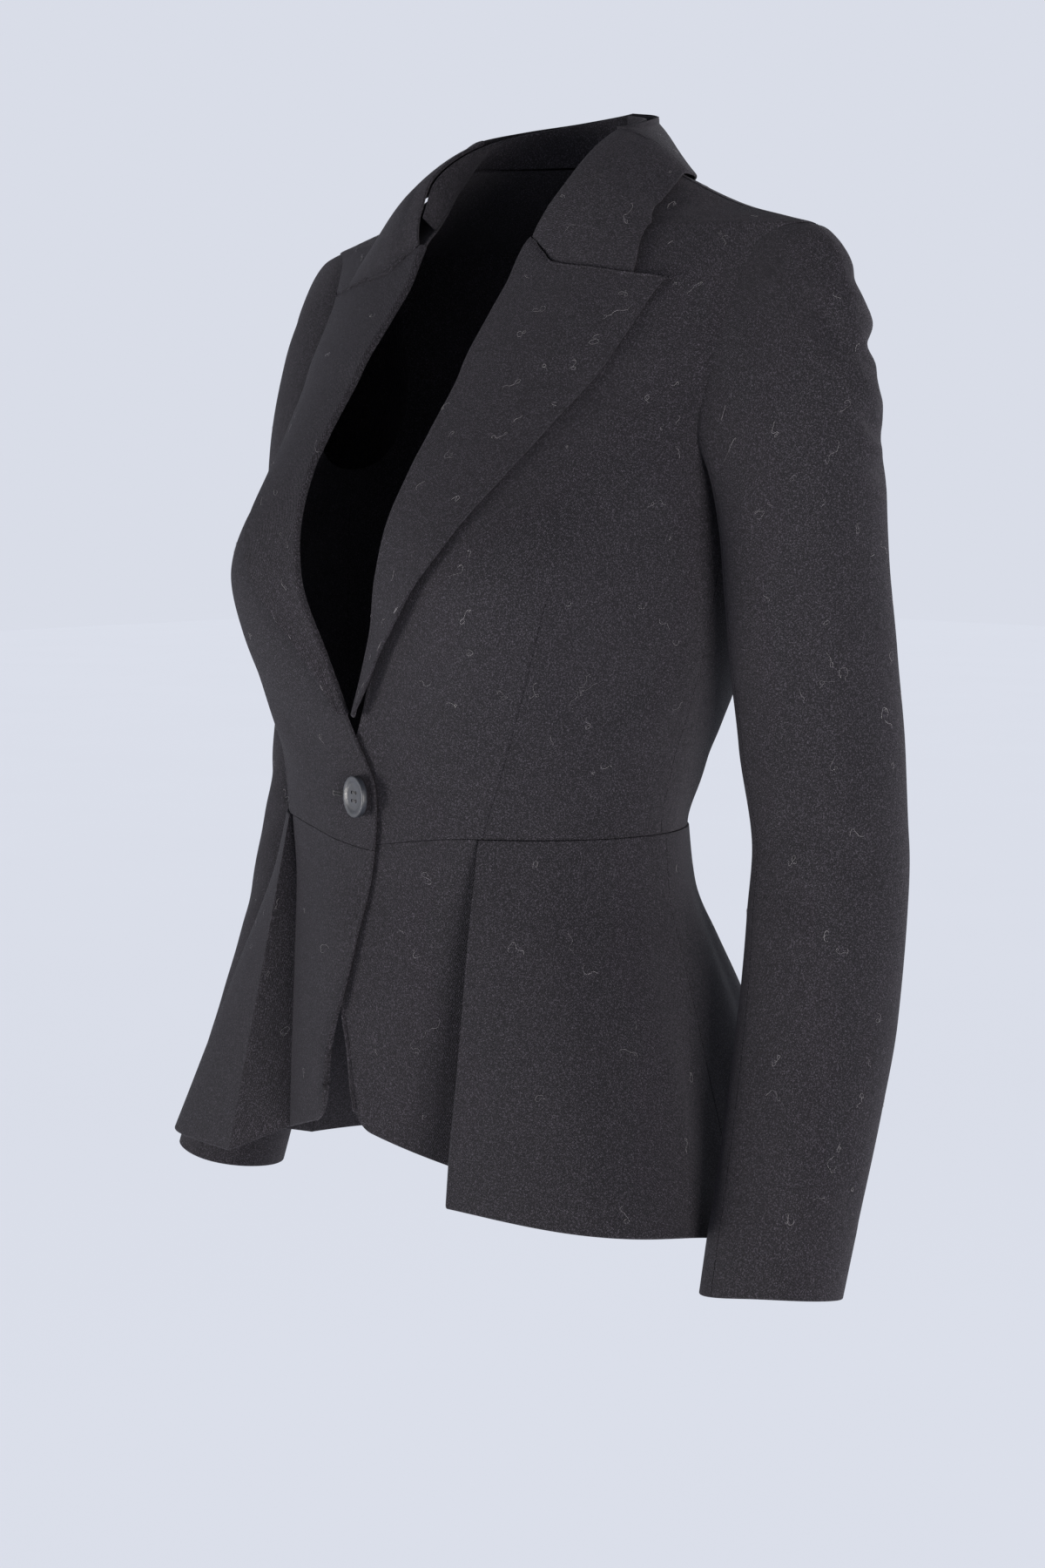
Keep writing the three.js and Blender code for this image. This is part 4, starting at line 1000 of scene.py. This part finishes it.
@dataclass
class Sleeves:
    """Two-piece set-in sleeves, each an upper and an under sleeve."""

    bodice: Bodice
    upper_cut: Cut = Cut(0.165, 0.60, 0.0755)
    under_cut: Cut = Cut(0.105, 0.50, 0.0446)
    cuff_z: float = -233.5
    cap_end: float = 150
    turned: float = 46
    front_seam: float = 126
    back_seam: float = 270
    wind: float = -22
    slant_rise: float = 6.5       # the cuff is cut higher towards the outer front
    slant_turn: float = 65
    cap_rows: float = 8
    rows: float = 20
    rings: Rows = Rows(
        ("z", "x", "y", "wide", "thin"),
        (
            (-233.5, 226.5, -37.5, 37.5, 32.5), (-195, 224.5, -25, 39, 33), (-140, 220.5, -5.5, 41.3, 34),
            (-95, 216.3, 9.7, 42.8, 35), (-40, 211.8, 22, 42.8, 35.5), (0, 208, 28.5, 42, 36),
            (50, 201, 29, 44.5, 36.5), (100, 197.5, 25, 45, 36), (150, 196.5, 19, 44.5, 35.8),
            (190, 196, 16, 44.5, 36),
        ),
    )
    folds: Folds = Folds(
        45,
        (
            (30, 287, -14, 252, 6, 3.4, 6.5), (-6, 300, -62, 291, 2, 2.6, 7), (-22, 277, -62, 272, 0, -1.8, 7),
            (-8, 262, -64, 254, -3, 3.8, 7), (4, 240, -58, 234, 2, -2.4, 9), (4, 230, -40, 214, 4, 3.0, 6),
            (10, 210, -34, 194, 3, 1.6, 7),
            (112, -24, 62, -38, -5, 1.9, 10), (66, 8, 18, -18, -4, 1.8, 11), (100, -46, 40, -72, 4, 1.3, 12),
            (84, -8, 30, 18, 4, -1.0, 12), (44, -150, -10, -182, -5, 1.5, 11), (70, -196, 20, -214, 4, 0.9, 10),
            (96, 96, 104, 30, 5, 0.9, 12), (40, 120, 30, 40, -6, -0.7, 16), (60, 214, 46, 168, 4, 0.8, 12),
            (200, 64, 286, 18, 6, 2.6, 12), (190, 24, 276, -10, -5, 2.4, 11), (206, -20, 270, -52, 5, 1.8, 12),
            (220, 150, 270, 118, 5, 1.6, 12), (180, 180, 226, 160, 4, 1.8, 11), (214, -120, 280, -150, 5, 1.4, 12),
            (150, 120, 178, 70, 5, 1.1, 12), (300, 250, 340, 226, 4, 1.6, 10), (306, 214, 344, 198, -3, 1.4, 9),
        ),
    )
    other_folds: Folds = Folds(
        45,
        (
            (24, 282, -18, 250, 5, 2.8, 7), (-8, 262, -60, 256, -4, 3.0, 8), (2, 232, -36, 214, 4, 2.6, 7),
            (108, -18, 60, -34, -5, 2.0, 10), (70, 14, 20, -10, 4, 1.6, 11), (96, -52, 44, -80, 4, 1.4, 12),
            (50, -142, -6, -176, 5, 1.3, 11), (92, 100, 100, 36, 5, 0.9, 12), (64, 208, 50, 164, 4, 0.9, 12),
            (196, 70, 284, 26, -6, 2.4, 12), (192, 18, 274, -16, 5, 2.3, 11), (208, -26, 268, -60, 5, 1.6, 12),
            (216, 144, 268, 112, 5, 1.5, 12), (182, 176, 228, 154, -4, 1.7, 11), (212, -126, 282, -158, 5, 1.3, 12),
            (296, 244, 338, 222, 4, 1.5, 10), (148, 116, 180, 66, 5, 1.0, 12),
        ),
    )

    def ring(self, turn, z) -> np.ndarray:
        """Returns a point of the tube below the cap: turn 0 outside, 90 in front."""
        row = self.rings.at(z)
        around = -np.radians(turn) - math.radians(self.turned)
        wide, thin = row["wide"] * np.cos(around), row["thin"] * np.sin(around)
        cos, sin = math.cos(math.radians(self.turned)), math.sin(math.radians(self.turned))
        return stack(row["x"] + wide * cos - thin * sin, row["y"] + wide * sin + thin * cos, z)

    def cap(self, turn, t) -> np.ndarray:
        """Returns a point of the cap, from the armhole (t 0) down to the tube (t 1)."""
        form = self.bodice.form
        angle, z = self.bodice.armhole(turn)
        middle = (self.bodice.tip_z + self.bodice.underarm_z) / 2
        angle, z = mix(90, angle, 1.04), mix(middle, z, 1.012)
        top = (1 + np.cos(np.radians(turn))) / 2
        start = form.point(angle, z) - form.facing(angle, z) * 1.0
        heading = stack(mix(0.62, 1, top), -0.25 * np.sin(np.radians(turn)), mix(-0.78, -0.05, top))
        end = self.ring(turn, self.cap_end)
        fall = (end - self.ring(turn, self.cap_end + 8)) / 8
        length = np.linalg.norm(end - start, axis=-1, keepdims=True)
        top = top[..., None]
        m, n = unit(heading) * length * mix(0.9, 0.72, top), unit(fall) * length * mix(0.9, 1.25, top)
        t = t[..., None]
        start_share, end_share = 2 * t**3 - 3 * t**2 + 1, 3 * t**2 - 2 * t**3
        return start * start_share + m * (t**3 - 2 * t**2 + t) + end * end_share + n * (t**3 - t**2)

    def sleeve(self, name: str, first: float, last: float, folds: Folds) -> Panel:
        """Cuts a piece of the sleeve between two turns, drawn for the wearer's left.

        Args:
            name: name of the piece.
            first: turn at which it starts.
            last: turn at which it ends.
            folds: the sleeve's folds.

        Returns:
            The cut piece.
        """
        turn = mix(first, last, stations(math.radians(last - first) * 42))[None]
        row = stations(590)[:, None] * self.rows
        turn, row = np.broadcast_arrays(turn, row)
        t = np.clip((row - self.cap_rows) / (self.rows - self.cap_rows), 0, 1)
        winding = turn + self.wind * t * bell(turn - self.front_seam, 70)
        tube = self.ring(winding, mix(self.cap_end, self.cuff_z, t))
        tube[..., 2] += self.slant_rise * t**4 * np.cos(np.radians(turn - self.slant_turn))
        cap = self.cap(turn, np.clip(row / self.cap_rows, 0, 1))
        points = np.where((row <= self.cap_rows)[..., None], cap, tube)
        panel = Panel(name, points, np.zeros((1, 1, 2)), (Edge.SEAM, Edge.PRESSED, Edge.SEAM, Edge.SEAM))
        from_armhole = panel.from_edges()[0]
        from_cuff = panel.from_edges()[1]
        z = points[..., 2]
        depth = folds.depth(turn, z) * smooth(from_armhole, 4, 26)
        top = np.clip(np.cos(np.radians(turn)), 0, 1)
        depth = depth - 1.3 * top * bell(from_armhole - 7, 7)
        depth = depth - 0.25 * smooth(-from_cuff, -42, -36)
        middle = self.rings.at(z)
        aside = unit(stack(points[..., 0] - middle["x"], points[..., 1] - middle["y"], 0))
        panel.points = points - aside * depth[..., None]
        panel.chart = np.stack([np.radians(turn) * 45, z], -1)
        return panel

    def build(self, wardrobe: Wardrobe) -> None:
        """Makes the four pieces."""
        spans = (
            ("upper_sleeve", self.back_seam - 360, self.front_seam, self.upper_cut, "front"),
            ("under_sleeve", self.front_seam, self.back_seam, self.under_cut, "back"),
        )
        for stem, first, last, cut, carrier in spans:
            left = self.sleeve(f"{stem}_left_cloth", first, last, self.folds)
            right = self.sleeve("", first, last, self.other_folds).mirrored(f"{stem}_right_cloth")
            wardrobe.dress_pair(left, right, cut, carrier)


@dataclass
class Peplum:
    """The flared skirt under the waist seam, with one deep pressed pleat on each side."""

    bodice: Bodice
    front_cut: Cut = Cut(0.265, 0.225, 0.0478)
    back_cut: Cut = Cut(0.245, 0.222, 0.0482)
    side_angle: float = 96
    square: float = 2.3
    lobe_angle: float = 55
    lobe_spread: float = 25
    lobe: float = 28
    lobe_growth: float = 1.3
    corner_radius: float = 10
    hem: tuple[float, float, float, float, float] = (-162, -178.5, -193, -218, -221)
    folds_of: Rows = Rows(
        ("t", "edge_x", "edge_y", "fold_x", "fold_y", "ridge_x", "ridge_y"),
        (
            (0, -15, -128, 78, -104, 79, -109.5), (0.25, -10.2, -133, 75, -108, 81.5, -119),
            (0.5, -3.8, -138, 72, -112.5, 85, -128), (0.75, 6, -141, 69.5, -117, 88.5, -137),
            (1, 13.5, -142, 67, -121, 92, -146),
        ),
    )
    rings: Rows = Rows(
        ("t", "a", "yc", "F", "B"),
        (
            (0, 131, -27, 101, 92), (0.15, 133, -27, 103, 96), (0.3, 141, -27, 108, 110),
            (0.5, 153, -27, 115, 130), (0.75, 167, -27, 124, 147), (1, 180, -27, 132, 161),
        ),
    )
    waves: Folds = Folds(
        160,
        (
            (62, -40, 66, -200, 3, 1.2, 16), (80, -60, 84, -210, -3, -1.4, 15), (118, -30, 122, -214, 4, 2.4, 17),
            (138, -40, 142, -218, -3, -2.2, 16), (158, -24, 160, -216, 3, 2.2, 15), (98, -110, 104, -216, 3, 1.4, 14),
        ),
    )
    other_waves: Folds = Folds(
        160,
        (
            (64, -50, 70, -206, -3, 1.3, 16), (84, -50, 86, -212, 3, -1.2, 15), (114, -36, 120, -214, -4, 2.2, 16),
            (136, -30, 138, -218, 3, -2.4, 17), (160, -30, 164, -216, -3, 2.0, 15),
        ),
    )

    def ring(self, angle, t) -> np.ndarray:
        """Returns a point of the flared outer panel."""
        row = self.rings.at(t)
        s, c = np.sin(np.radians(angle)), np.cos(np.radians(angle))
        power = mix(2, self.square, smooth(t, 0, 0.5))
        size = (abs(s) ** power + abs(c) ** power) ** (-1 / power)
        lobe = self.lobe * t**self.lobe_growth * bell(angle - self.lobe_angle, self.lobe_spread)
        reach = np.where(c > 0, row["F"], row["B"]) + lobe
        return stack((row["a"] + lobe) * s * size, row["yc"] - reach * c * size, 0)

    def angle_at_x(self, x, t) -> np.ndarray:
        """Returns the angle at which the flared panel stands at the wanted x."""
        low, high = np.zeros(x.shape), np.full(x.shape, 90.0)
        for _ in range(32):
            middle = (low + high) / 2
            less = self.ring(middle, t)[..., 0] < x
            low, high = np.where(less, middle, low), np.where(less, high, middle)
        return (low + high) / 2

    def soften(self, points: np.ndarray, column: int, reach: int, passes: int) -> np.ndarray:
        """Rounds a pressed fold that runs down one column."""
        points = points.copy()
        span = slice(column - reach, column + reach + 1)
        for _ in range(passes):
            before = points[:, column - reach - 1 : column + reach]
            after = points[:, column - reach + 1 : column + reach + 2]
            points[:, span] = 0.5 * points[:, span] + 0.25 * (before + after)
        return points

    def half(self, side: float) -> tuple[np.ndarray, np.ndarray, int]:
        """Works out one half of the peplum, drawn for the wearer's left.

        Args:
            side: 1 where its front edge lies over the other one, -1 where it lies under it.

        Returns:
            The points, the angle that places the waves, and the column of the side seam.
        """
        bodice = self.bodice
        t = stations(215)[::-1][:, None]
        row = self.folds_of.at(t)
        fine = np.array([0.4, 0.8, 1.2, 1.6, 2.0, 2.4])
        hem_edge, hem_fold, hem_ridge, hem_side, hem_back = self.hem
        gap = 0.2

        def top(x):
            """Height of the peplum's upper border."""
            return bodice.waist_z(x) - gap

        inner = stations(85, extra=(2.9, 3.2, 3.5, *(85 - fine)))[:-1][None]
        x = mix(row["edge_x"], row["fold_x"], inner)
        waist = bodice.form.point(bodice.form.angle_at_x(x[-1], 0 * x[-1]), 0 * x[-1])[None, :, 1]
        hang = mix(row["edge_y"], row["fold_y"], (abs(x) / row["fold_x"]) ** 1.7)
        over = side * OVERLAP * (1 - smooth(x, 14, 46)) * (1 - smooth(t, 0.75, 0.95))
        y = mix(waist, hang, smooth(t, 0, 0.3)) - over
        low = self.folds_of.at(1.0)
        short = np.clip(self.corner_radius - inner * (low["fold_x"] - low["edge_x"]), 0, self.corner_radius)
        rounded = self.corner_radius - np.sqrt(self.corner_radius**2 - short**2)
        z = mix(top(x), mix(hem_edge, hem_fold, inner) + rounded, t)
        parts = [stack(x, y, z)]
        back_fold = np.linspace(0, 1, 29)[None]
        x, y = mix(row["fold_x"], row["ridge_x"], back_fold), mix(row["fold_y"], row["ridge_y"], back_fold)
        parts.append(stack(x, y, mix(top(bodice.pleat_x), mix(hem_fold, hem_ridge, back_fold), t)))
        start = self.angle_at_x(row["ridge_x"], t)
        proud = self.ring(start, t)[..., 1] - row["ridge_y"]
        outer = stations(150, extra=tuple(fine))[1:][None]
        flared = self.ring(mix(start, self.side_angle, outer), t)
        flared[..., 1] -= proud * (1 - smooth(outer, 0, 0.7))
        flared[..., 2] = mix(top(bodice.pleat_x), mix(hem_ridge, hem_side, outer**2), t)
        parts.append(flared)
        rear = stations(235)[1:][None]
        behind = self.ring(mix(self.side_angle, 180, rear), t)
        behind[..., 2] = mix(top(bodice.pleat_x), mix(hem_side, hem_back, smooth(rear, 0, 0.7)), t)
        parts.append(behind)
        widths = [part.shape[1] for part in parts]
        points = np.concatenate(parts, axis=1)
        angle = np.concatenate([
            np.zeros((len(t), widths[0])), np.zeros((len(t), widths[1])),
            mix(start, self.side_angle, outer), mix(self.side_angle, 180, rear) + 0 * t,
        ], axis=1)
        fold_column = widths[0]
        ridge_column = widths[0] + widths[1] - 1
        points = self.soften(points, fold_column, 6, 5)
        points = self.soften(points, ridge_column, 6, 5)
        return points, angle, sum(widths[:3]) - 1

    def pieces(self, side: float, waves: Folds) -> tuple[Panel, Panel]:
        """Cuts the front and the back piece of one half."""
        points, angle, split = self.half(side)
        whole = Panel("", points, np.zeros((1, 1, 2)), (Edge.PRESSED,) * 4)
        from_hem, from_waist, from_edge, _ = whole.from_edges()
        depth = waves.depth(angle, points[..., 2]) * (angle > 0) * smooth(from_waist, 6, 60)
        depth = depth * (1 - 0.6 * smooth(-from_hem, -6, 0))
        depth += 0.2 * bell(from_edge - 3.2, 0.4)
        whole.points = points - whole.facings() * depth[..., None]
        whole.points[:, -1, 0] = 0
        chart = np.stack([from_edge, -from_waist], -1)
        front_edges = (Edge.PRESSED, Edge.SEAM, Edge.PRESSED, Edge.SEAM)
        back_edges = (Edge.PRESSED, Edge.SEAM, Edge.SEAM, Edge.SEAM)
        front = Panel("", whole.points[:, : split + 1], chart[:, : split + 1], front_edges)
        back = Panel("", whole.points[:, split:], chart[:, split:], back_edges)
        return front, back

    def build(self, wardrobe: Wardrobe) -> None:
        """Makes the four pieces."""
        front_left, back_left = self.pieces(-1, self.waves)
        front_right, back_right = self.pieces(1, self.other_waves)
        fronts = (
            replace(front_left, name="peplum_front_left_cloth"),
            front_right.mirrored("peplum_front_right_cloth"),
        )
        backs = (
            replace(back_left, name="peplum_back_left_cloth"),
            back_right.mirrored("peplum_back_right_cloth"),
        )
        wardrobe.dress_pair(*fronts, self.front_cut, "front")
        wardrobe.dress_pair(*backs, self.back_cut, "back")


@dataclass
class Closure:
    """The button, its thread and the worked buttonhole."""

    bodice: Bodice
    x: float = 6                  # the button stands a little to the wearer's left
    z: float = 19
    tip: float = 14               # it tips to the wearer's right on its thread, in degrees
    radius: float = 11.5
    thickness: float = 3.4
    hole: float = 0.95
    spacing: float = 2.3
    hole_start: float = -4
    hole_length: float = 21
    stitch: float = 0.55
    thread: float = 0.22

    def frame_at(self, angle: float, over: float) -> tuple[np.ndarray, np.ndarray, np.ndarray, np.ndarray]:
        """Returns a place over the fronts with its directions across, up and out."""
        form = self.bodice.form
        place = form.out(angle, self.z, over)
        out = form.facing(np.array(angle), np.array(self.z))
        across = unit(np.cross(np.array([0, 0, 1.0]), out)) * -1
        up = unit(np.cross(out, across)) * -1
        up = up if up[2] > 0 else -up
        return place, across, up, out

    def tipped(self, over: float) -> tuple[np.ndarray, np.ndarray, np.ndarray, np.ndarray]:
        """Returns a place on the button's own axis, `over` above its back, with its directions."""
        angle = float(self.bodice.form.angle_at_x(self.x, self.z))
        turn = math.radians(self.tip)
        seat, across, up, out = self.frame_at(angle, OVERLAP - 0.2 + self.radius * math.sin(turn))
        tipped_out = out * math.cos(turn) + across * math.sin(turn)
        tipped_across = across * math.cos(turn) - out * math.sin(turn)
        return seat + tipped_out * over, tipped_across, up, tipped_out

    def disc(self, finish: bpy.types.Material) -> bpy.types.Object:
        """Models the button: a dished disc with a soft rim and four holes.

        Args:
            finish: its material.

        Returns:
            The button's object.
        """
        bpy.ops.object.select_all(action="DESELECT")
        bpy.ops.mesh.primitive_cylinder_add(vertices=64, radius=self.radius * MM, depth=self.thickness * MM)
        button = bpy.context.active_object
        button.name = button.data.name = "button_disc"
        bpy.ops.object.mode_set(mode="EDIT")
        bpy.ops.mesh.select_all(action="DESELECT")
        bpy.ops.object.mode_set(mode="OBJECT")
        for face in button.data.polygons:
            face.select = face.normal.z > 0.9
        bpy.ops.object.mode_set(mode="EDIT")
        bpy.ops.mesh.select_mode(type="FACE")
        bpy.ops.mesh.inset(thickness=2.3 * MM, depth=0)
        bpy.ops.mesh.inset(thickness=1.5 * MM, depth=-0.9 * MM)
        bpy.ops.object.mode_set(mode="OBJECT")
        bevel = button.modifiers.new("soft_rim", "BEVEL")
        bevel.width, bevel.segments, bevel.limit_method, bevel.angle_limit = 0.9 * MM, 4, "ANGLE", math.radians(25)
        bpy.ops.object.modifier_apply(modifier=bevel.name)
        for dx in (-1, 1):
            for dy in (-1, 1):
                bpy.ops.mesh.primitive_cylinder_add(
                    vertices=20, radius=self.hole * MM, depth=4 * self.thickness * MM,
                    location=(dx * self.spacing * MM, dy * self.spacing * MM, 0),
                )
                drill = bpy.context.active_object
                cut = button.modifiers.new("drill", "BOOLEAN")
                cut.operation, cut.object, cut.solver = "DIFFERENCE", drill, "EXACT"
                bpy.context.view_layer.objects.active = button
                bpy.ops.object.modifier_apply(modifier=cut.name)
                bpy.data.objects.remove(drill)
        place, across, up, out = self.tipped(self.thickness / 2)
        count = len(button.data.vertices)
        local = np.zeros(count * 3)
        button.data.vertices.foreach_get("co", local)
        local = local.reshape(-1, 3)
        world = to_frame(place) + local @ np.stack([across, up, out])
        button.data.vertices.foreach_set("co", world.ravel())
        button.data.update()
        bpy.ops.object.select_all(action="DESELECT")
        button.select_set(True)
        bpy.context.view_layer.objects.active = button
        bpy.ops.object.mode_set(mode="EDIT")
        bpy.ops.mesh.select_all(action="SELECT")
        bpy.ops.mesh.normals_make_consistent(inside=False)
        bpy.ops.object.mode_set(mode="OBJECT")
        bpy.ops.object.shade_smooth_by_angle(angle=math.radians(35))
        button.data.materials.append(finish)
        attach(button, "root")
        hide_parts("button")
        return button

    def button_thread(self) -> list[np.ndarray]:
        """Returns the routes of the thread that crosses the button's face."""
        place, across, up, out = self.tipped(self.thickness - 1.05)
        paths = []
        for dy in (-1, 1):
            for lane in (-0.35, -0.1, 0.15, 0.4):
                t = np.linspace(-1, 1, 9)[:, None]
                rise = 0.75 * np.cos(t * math.pi / 2) - 0.35
                y = dy * self.spacing + lane
                paths.append(place + across * (t * (self.spacing + 0.35)) + up * y + out * rise)
        return paths

    def buttonhole(self) -> list[np.ndarray]:
        """Returns the routes of the buttonhole's close stitches and of its keyhole end."""
        paths = []
        span = self.hole_length
        end_angle = float(self.bodice.form.angle_at_x(self.hole_start + span, self.z))
        lip = 1.45
        for k in range(int(span / self.stitch)):
            s = k * self.stitch
            angle = float(self.bodice.form.angle_at_x(self.hole_start + s, self.z))
            place, across, up, out = self.frame_at(angle, OVERLAP)
            for way in (-1, 1):
                t = np.linspace(0, 1, 4)[:, None]
                wander = 0.12 * math.sin(7.3 * k + way)
                reach = mix(0.12, lip, t)
                rise = 0.28 * np.sin(math.pi * mix(0.15, 0.85, t)) - 0.05
                paths.append(place + up * way * reach + across * wander * t + out * rise)
        place, across, up, out = self.frame_at(end_angle, OVERLAP)
        for k in range(15):
            turn = math.radians(-90 + 180 * k / 14)
            direction = up * math.sin(turn) - across * math.cos(turn)
            t = np.linspace(0, 1, 4)[:, None]
            rise = 0.28 * np.sin(math.pi * mix(0.15, 0.85, t)) - 0.05
            paths.append(place + direction * mix(0.5, lip + 0.25, t) + out * rise)
        return paths

    def build(self, wardrobe: Wardrobe) -> None:
        """Makes the button, its thread and the buttonhole."""
        self.disc(MouldedPolyester().material())
        thread = Thread("spun_sewing_thread", "#100f12", "#1d1b20").material()
        for name, paths, slot in (
            ("button_thread", self.button_thread(), "button"),
            ("buttonhole_stitches", self.mirror(self.buttonhole()), "suiting"),
        ):
            obj = strands(name, paths, self.thread, 6)
            obj.data.materials.append(thread)
            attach(obj, "root")
            log.info("%s: %d threads", name, len(paths))

    def mirror(self, paths: list[np.ndarray]) -> list[np.ndarray]:
        """Moves routes that were drawn on the wearer's left to the right front."""
        return [path * np.array([-1.0, 1.0, 1.0]) for path in paths]


@dataclass
class Lint:
    """Loose pale fibres that cling to the nap."""

    counts: tuple[tuple[str, int], ...] = (
        ("front_left_cloth", 46), ("front_right_cloth", 22), ("lapel_left_cloth", 26),
        ("lapel_right_cloth", 14), ("collar_fall_cloth", 16), ("upper_sleeve_left_cloth", 50),
        ("upper_sleeve_right_cloth", 30), ("under_sleeve_left_cloth", 12), ("under_sleeve_right_cloth", 12),
        ("peplum_front_left_cloth", 18), ("peplum_front_right_cloth", 14), ("back_left_cloth", 26),
        ("back_right_cloth", 24), ("peplum_back_left_cloth", 14), ("peplum_back_right_cloth", 12),
    )
    radius: float = 0.06
    seed: int = 7

    def fibre(self, panel: Panel, draw: np.random.Generator) -> np.ndarray | None:
        """Lays one curly fibre on a panel.

        Args:
            panel: the cloth that carries it.
            draw: the source of its chance values.

        Returns:
            Its route, or None where it would leave the panel.
        """
        rows, columns = panel.points.shape[:2]
        bottom, _, left, _ = panel.from_edges()
        middle_row, middle_column = rows // 2, columns // 2
        wide, high = left[middle_row], bottom[:, middle_column]
        x = draw.uniform(0.06, 0.94) * wide[-1]
        y = draw.uniform(0.04, 0.96) * high[-1]
        heading = draw.uniform(0, 2 * math.pi)
        bend = draw.normal(0, 0.25)
        count = int(draw.integers(7, 34))
        route = []
        for _ in range(count):
            route.append((x, y))
            bend = 0.8 * bend + draw.normal(0, 0.28)
            heading += bend
            x += 0.6 * math.cos(heading)
            y += 0.6 * math.sin(heading)
        xs, ys = np.array(route).T
        if xs.min() < 1 or ys.min() < 1 or xs.max() > wide[-1] - 1 or ys.max() > high[-1] - 1:
            return None
        i = np.interp(xs, wide, np.arange(columns))
        j = np.interp(ys, high, np.arange(rows))
        i0, j0 = i.astype(int), j.astype(int)
        fi, fj = (i - i0)[:, None], (j - j0)[:, None]
        p = panel.points
        low = mix(p[j0, i0], p[j0, np.minimum(i0 + 1, columns - 1)], fi)
        up = np.minimum(j0 + 1, rows - 1)
        place = mix(low, mix(p[up, i0], p[up, np.minimum(i0 + 1, columns - 1)], fi), fj)
        facing = panel.facings()[j0, i0]
        height = 0.12 + 0.3 * np.sin(np.linspace(0, math.pi, count)) * draw.uniform(0.1, 1)
        return place + facing * height[:, None]

    def build(self, wardrobe: Wardrobe) -> None:
        """Scatters the fibres and joins them to one piece."""
        draw = np.random.default_rng(self.seed)
        paths = []
        for name, count in self.counts:
            for _ in range(count):
                path = self.fibre(wardrobe.panels[name], draw)
                if path is not None:
                    paths.append(path)
        obj = strands("lint_fibres", paths, self.radius, 3)
        obj.data.materials.append(Thread("loose_pale_fibre", "#4d4a4f", "#8b888c").material())
        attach(obj, "root")
        log.info("lint_fibres: %d fibres", len(paths))


@dataclass(frozen=True)
class Softbox:
    """One soft studio lamp.

    Attributes:
        name: its name.
        place: where it stands, in metres.
        size: side of its square face.
        power: its power in watts.
        tint: its colour.
    """

    name: str
    place: tuple[float, float, float]
    size: float
    power: float
    tint: str


@dataclass
class Studio:
    """Camera, floor, lamps and air round the garment."""

    camera_place: tuple[float, float, float] = (1.2446, -1.2269, -0.1406)
    camera_turn: float = 0.8029
    camera_dip: float = 0.1118
    lens: float = 69.09
    floor_z: float = -1.32
    floor_size: float = 30
    aim: tuple[float, float, float] = (0.05, -0.03, -0.25)
    air: str = "#dadee9"
    air_strength: float = 0.99
    zenith_strength: float = 0.2   # the air darkens overhead, so that little light falls from above
    lamps: tuple[Softbox, ...] = (
        Softbox("key", (-1.4, -2.5, -0.75), 0.9, 82, "#fffaf6"),
        Softbox("fill", (2.5, -0.9, -0.55), 1.1, 98, "#fffaf6"),
        Softbox("rear", (-1.6, 2.4, 0.9), 1.6, 20, "#f8f9ff"),
    )

    def build(self) -> None:
        """Sets up camera, lamps, floor and the light of the room."""
        data = bpy.data.cameras.new("photo_camera")
        data.lens = self.lens
        data.sensor_width = 36
        camera = bpy.data.objects.new("photo_camera", data)
        camera.location = self.camera_place
        camera.rotation_euler = (math.pi / 2 - self.camera_dip, 0, self.camera_turn)
        bpy.context.scene.collection.objects.link(camera)
        bpy.context.scene.camera = camera
        for lamp in self.lamps:
            light = bpy.data.lights.new(lamp.name, "AREA")
            light.size, light.energy, light.color = lamp.size, lamp.power, linear(lamp.tint)[:3]
            obj = bpy.data.objects.new(lamp.name, light)
            obj.location = lamp.place
            towards = Vector(self.aim) - Vector(lamp.place)
            obj.rotation_euler = towards.to_track_quat("-Z", "Y").to_euler()
            bpy.context.scene.collection.objects.link(obj)
        half = self.floor_size / 2
        corners = np.array([(-half, -half, self.floor_z), (half, -half, self.floor_z),
                            (half, half, self.floor_z), (-half, half, self.floor_z)])
        floor = new_object("studio_floor", corners, np.array([[0, 1, 2, 3]]), False)
        floor.data.materials.append(PaintedFloor().material())
        world = bpy.data.worlds.new("studio_air")
        world.use_nodes = True
        tree = world.node_tree
        heading = add_node(tree, "ShaderNodeTexCoord").outputs["Generated"]
        rise = add_node(tree, "ShaderNodeSeparateXYZ", None, Vector=heading).outputs["Z"]
        back = tree.nodes["Background"]
        back.inputs["Color"].default_value = linear(self.air)
        tree.links.new(ramp(tree, rise, 0.2, 0.75, self.air_strength, self.zenith_strength), back.inputs["Strength"])
        bpy.context.scene.world = world
        bpy.context.scene.view_settings.view_transform = "Standard"


def main() -> None:
    """Builds the blazer, piece by piece, and the studio round it."""
    logging.basicConfig(level=logging.INFO, format="%(message)s")
    Studio().build()
    wardrobe = Wardrobe(WoolSuiting().material())
    bodice = Bodice(BodyForm())
    bodice.build(wardrobe)
    lapels = Lapels(bodice)
    lapels.build(wardrobe)
    Collar(lapels).build(wardrobe)
    Sleeves(bodice).build(wardrobe)
    Peplum(bodice).build(wardrobe)
    Closure(bodice).build(wardrobe)
    Lint().build(wardrobe)


if __name__ == "__main__":
    main()
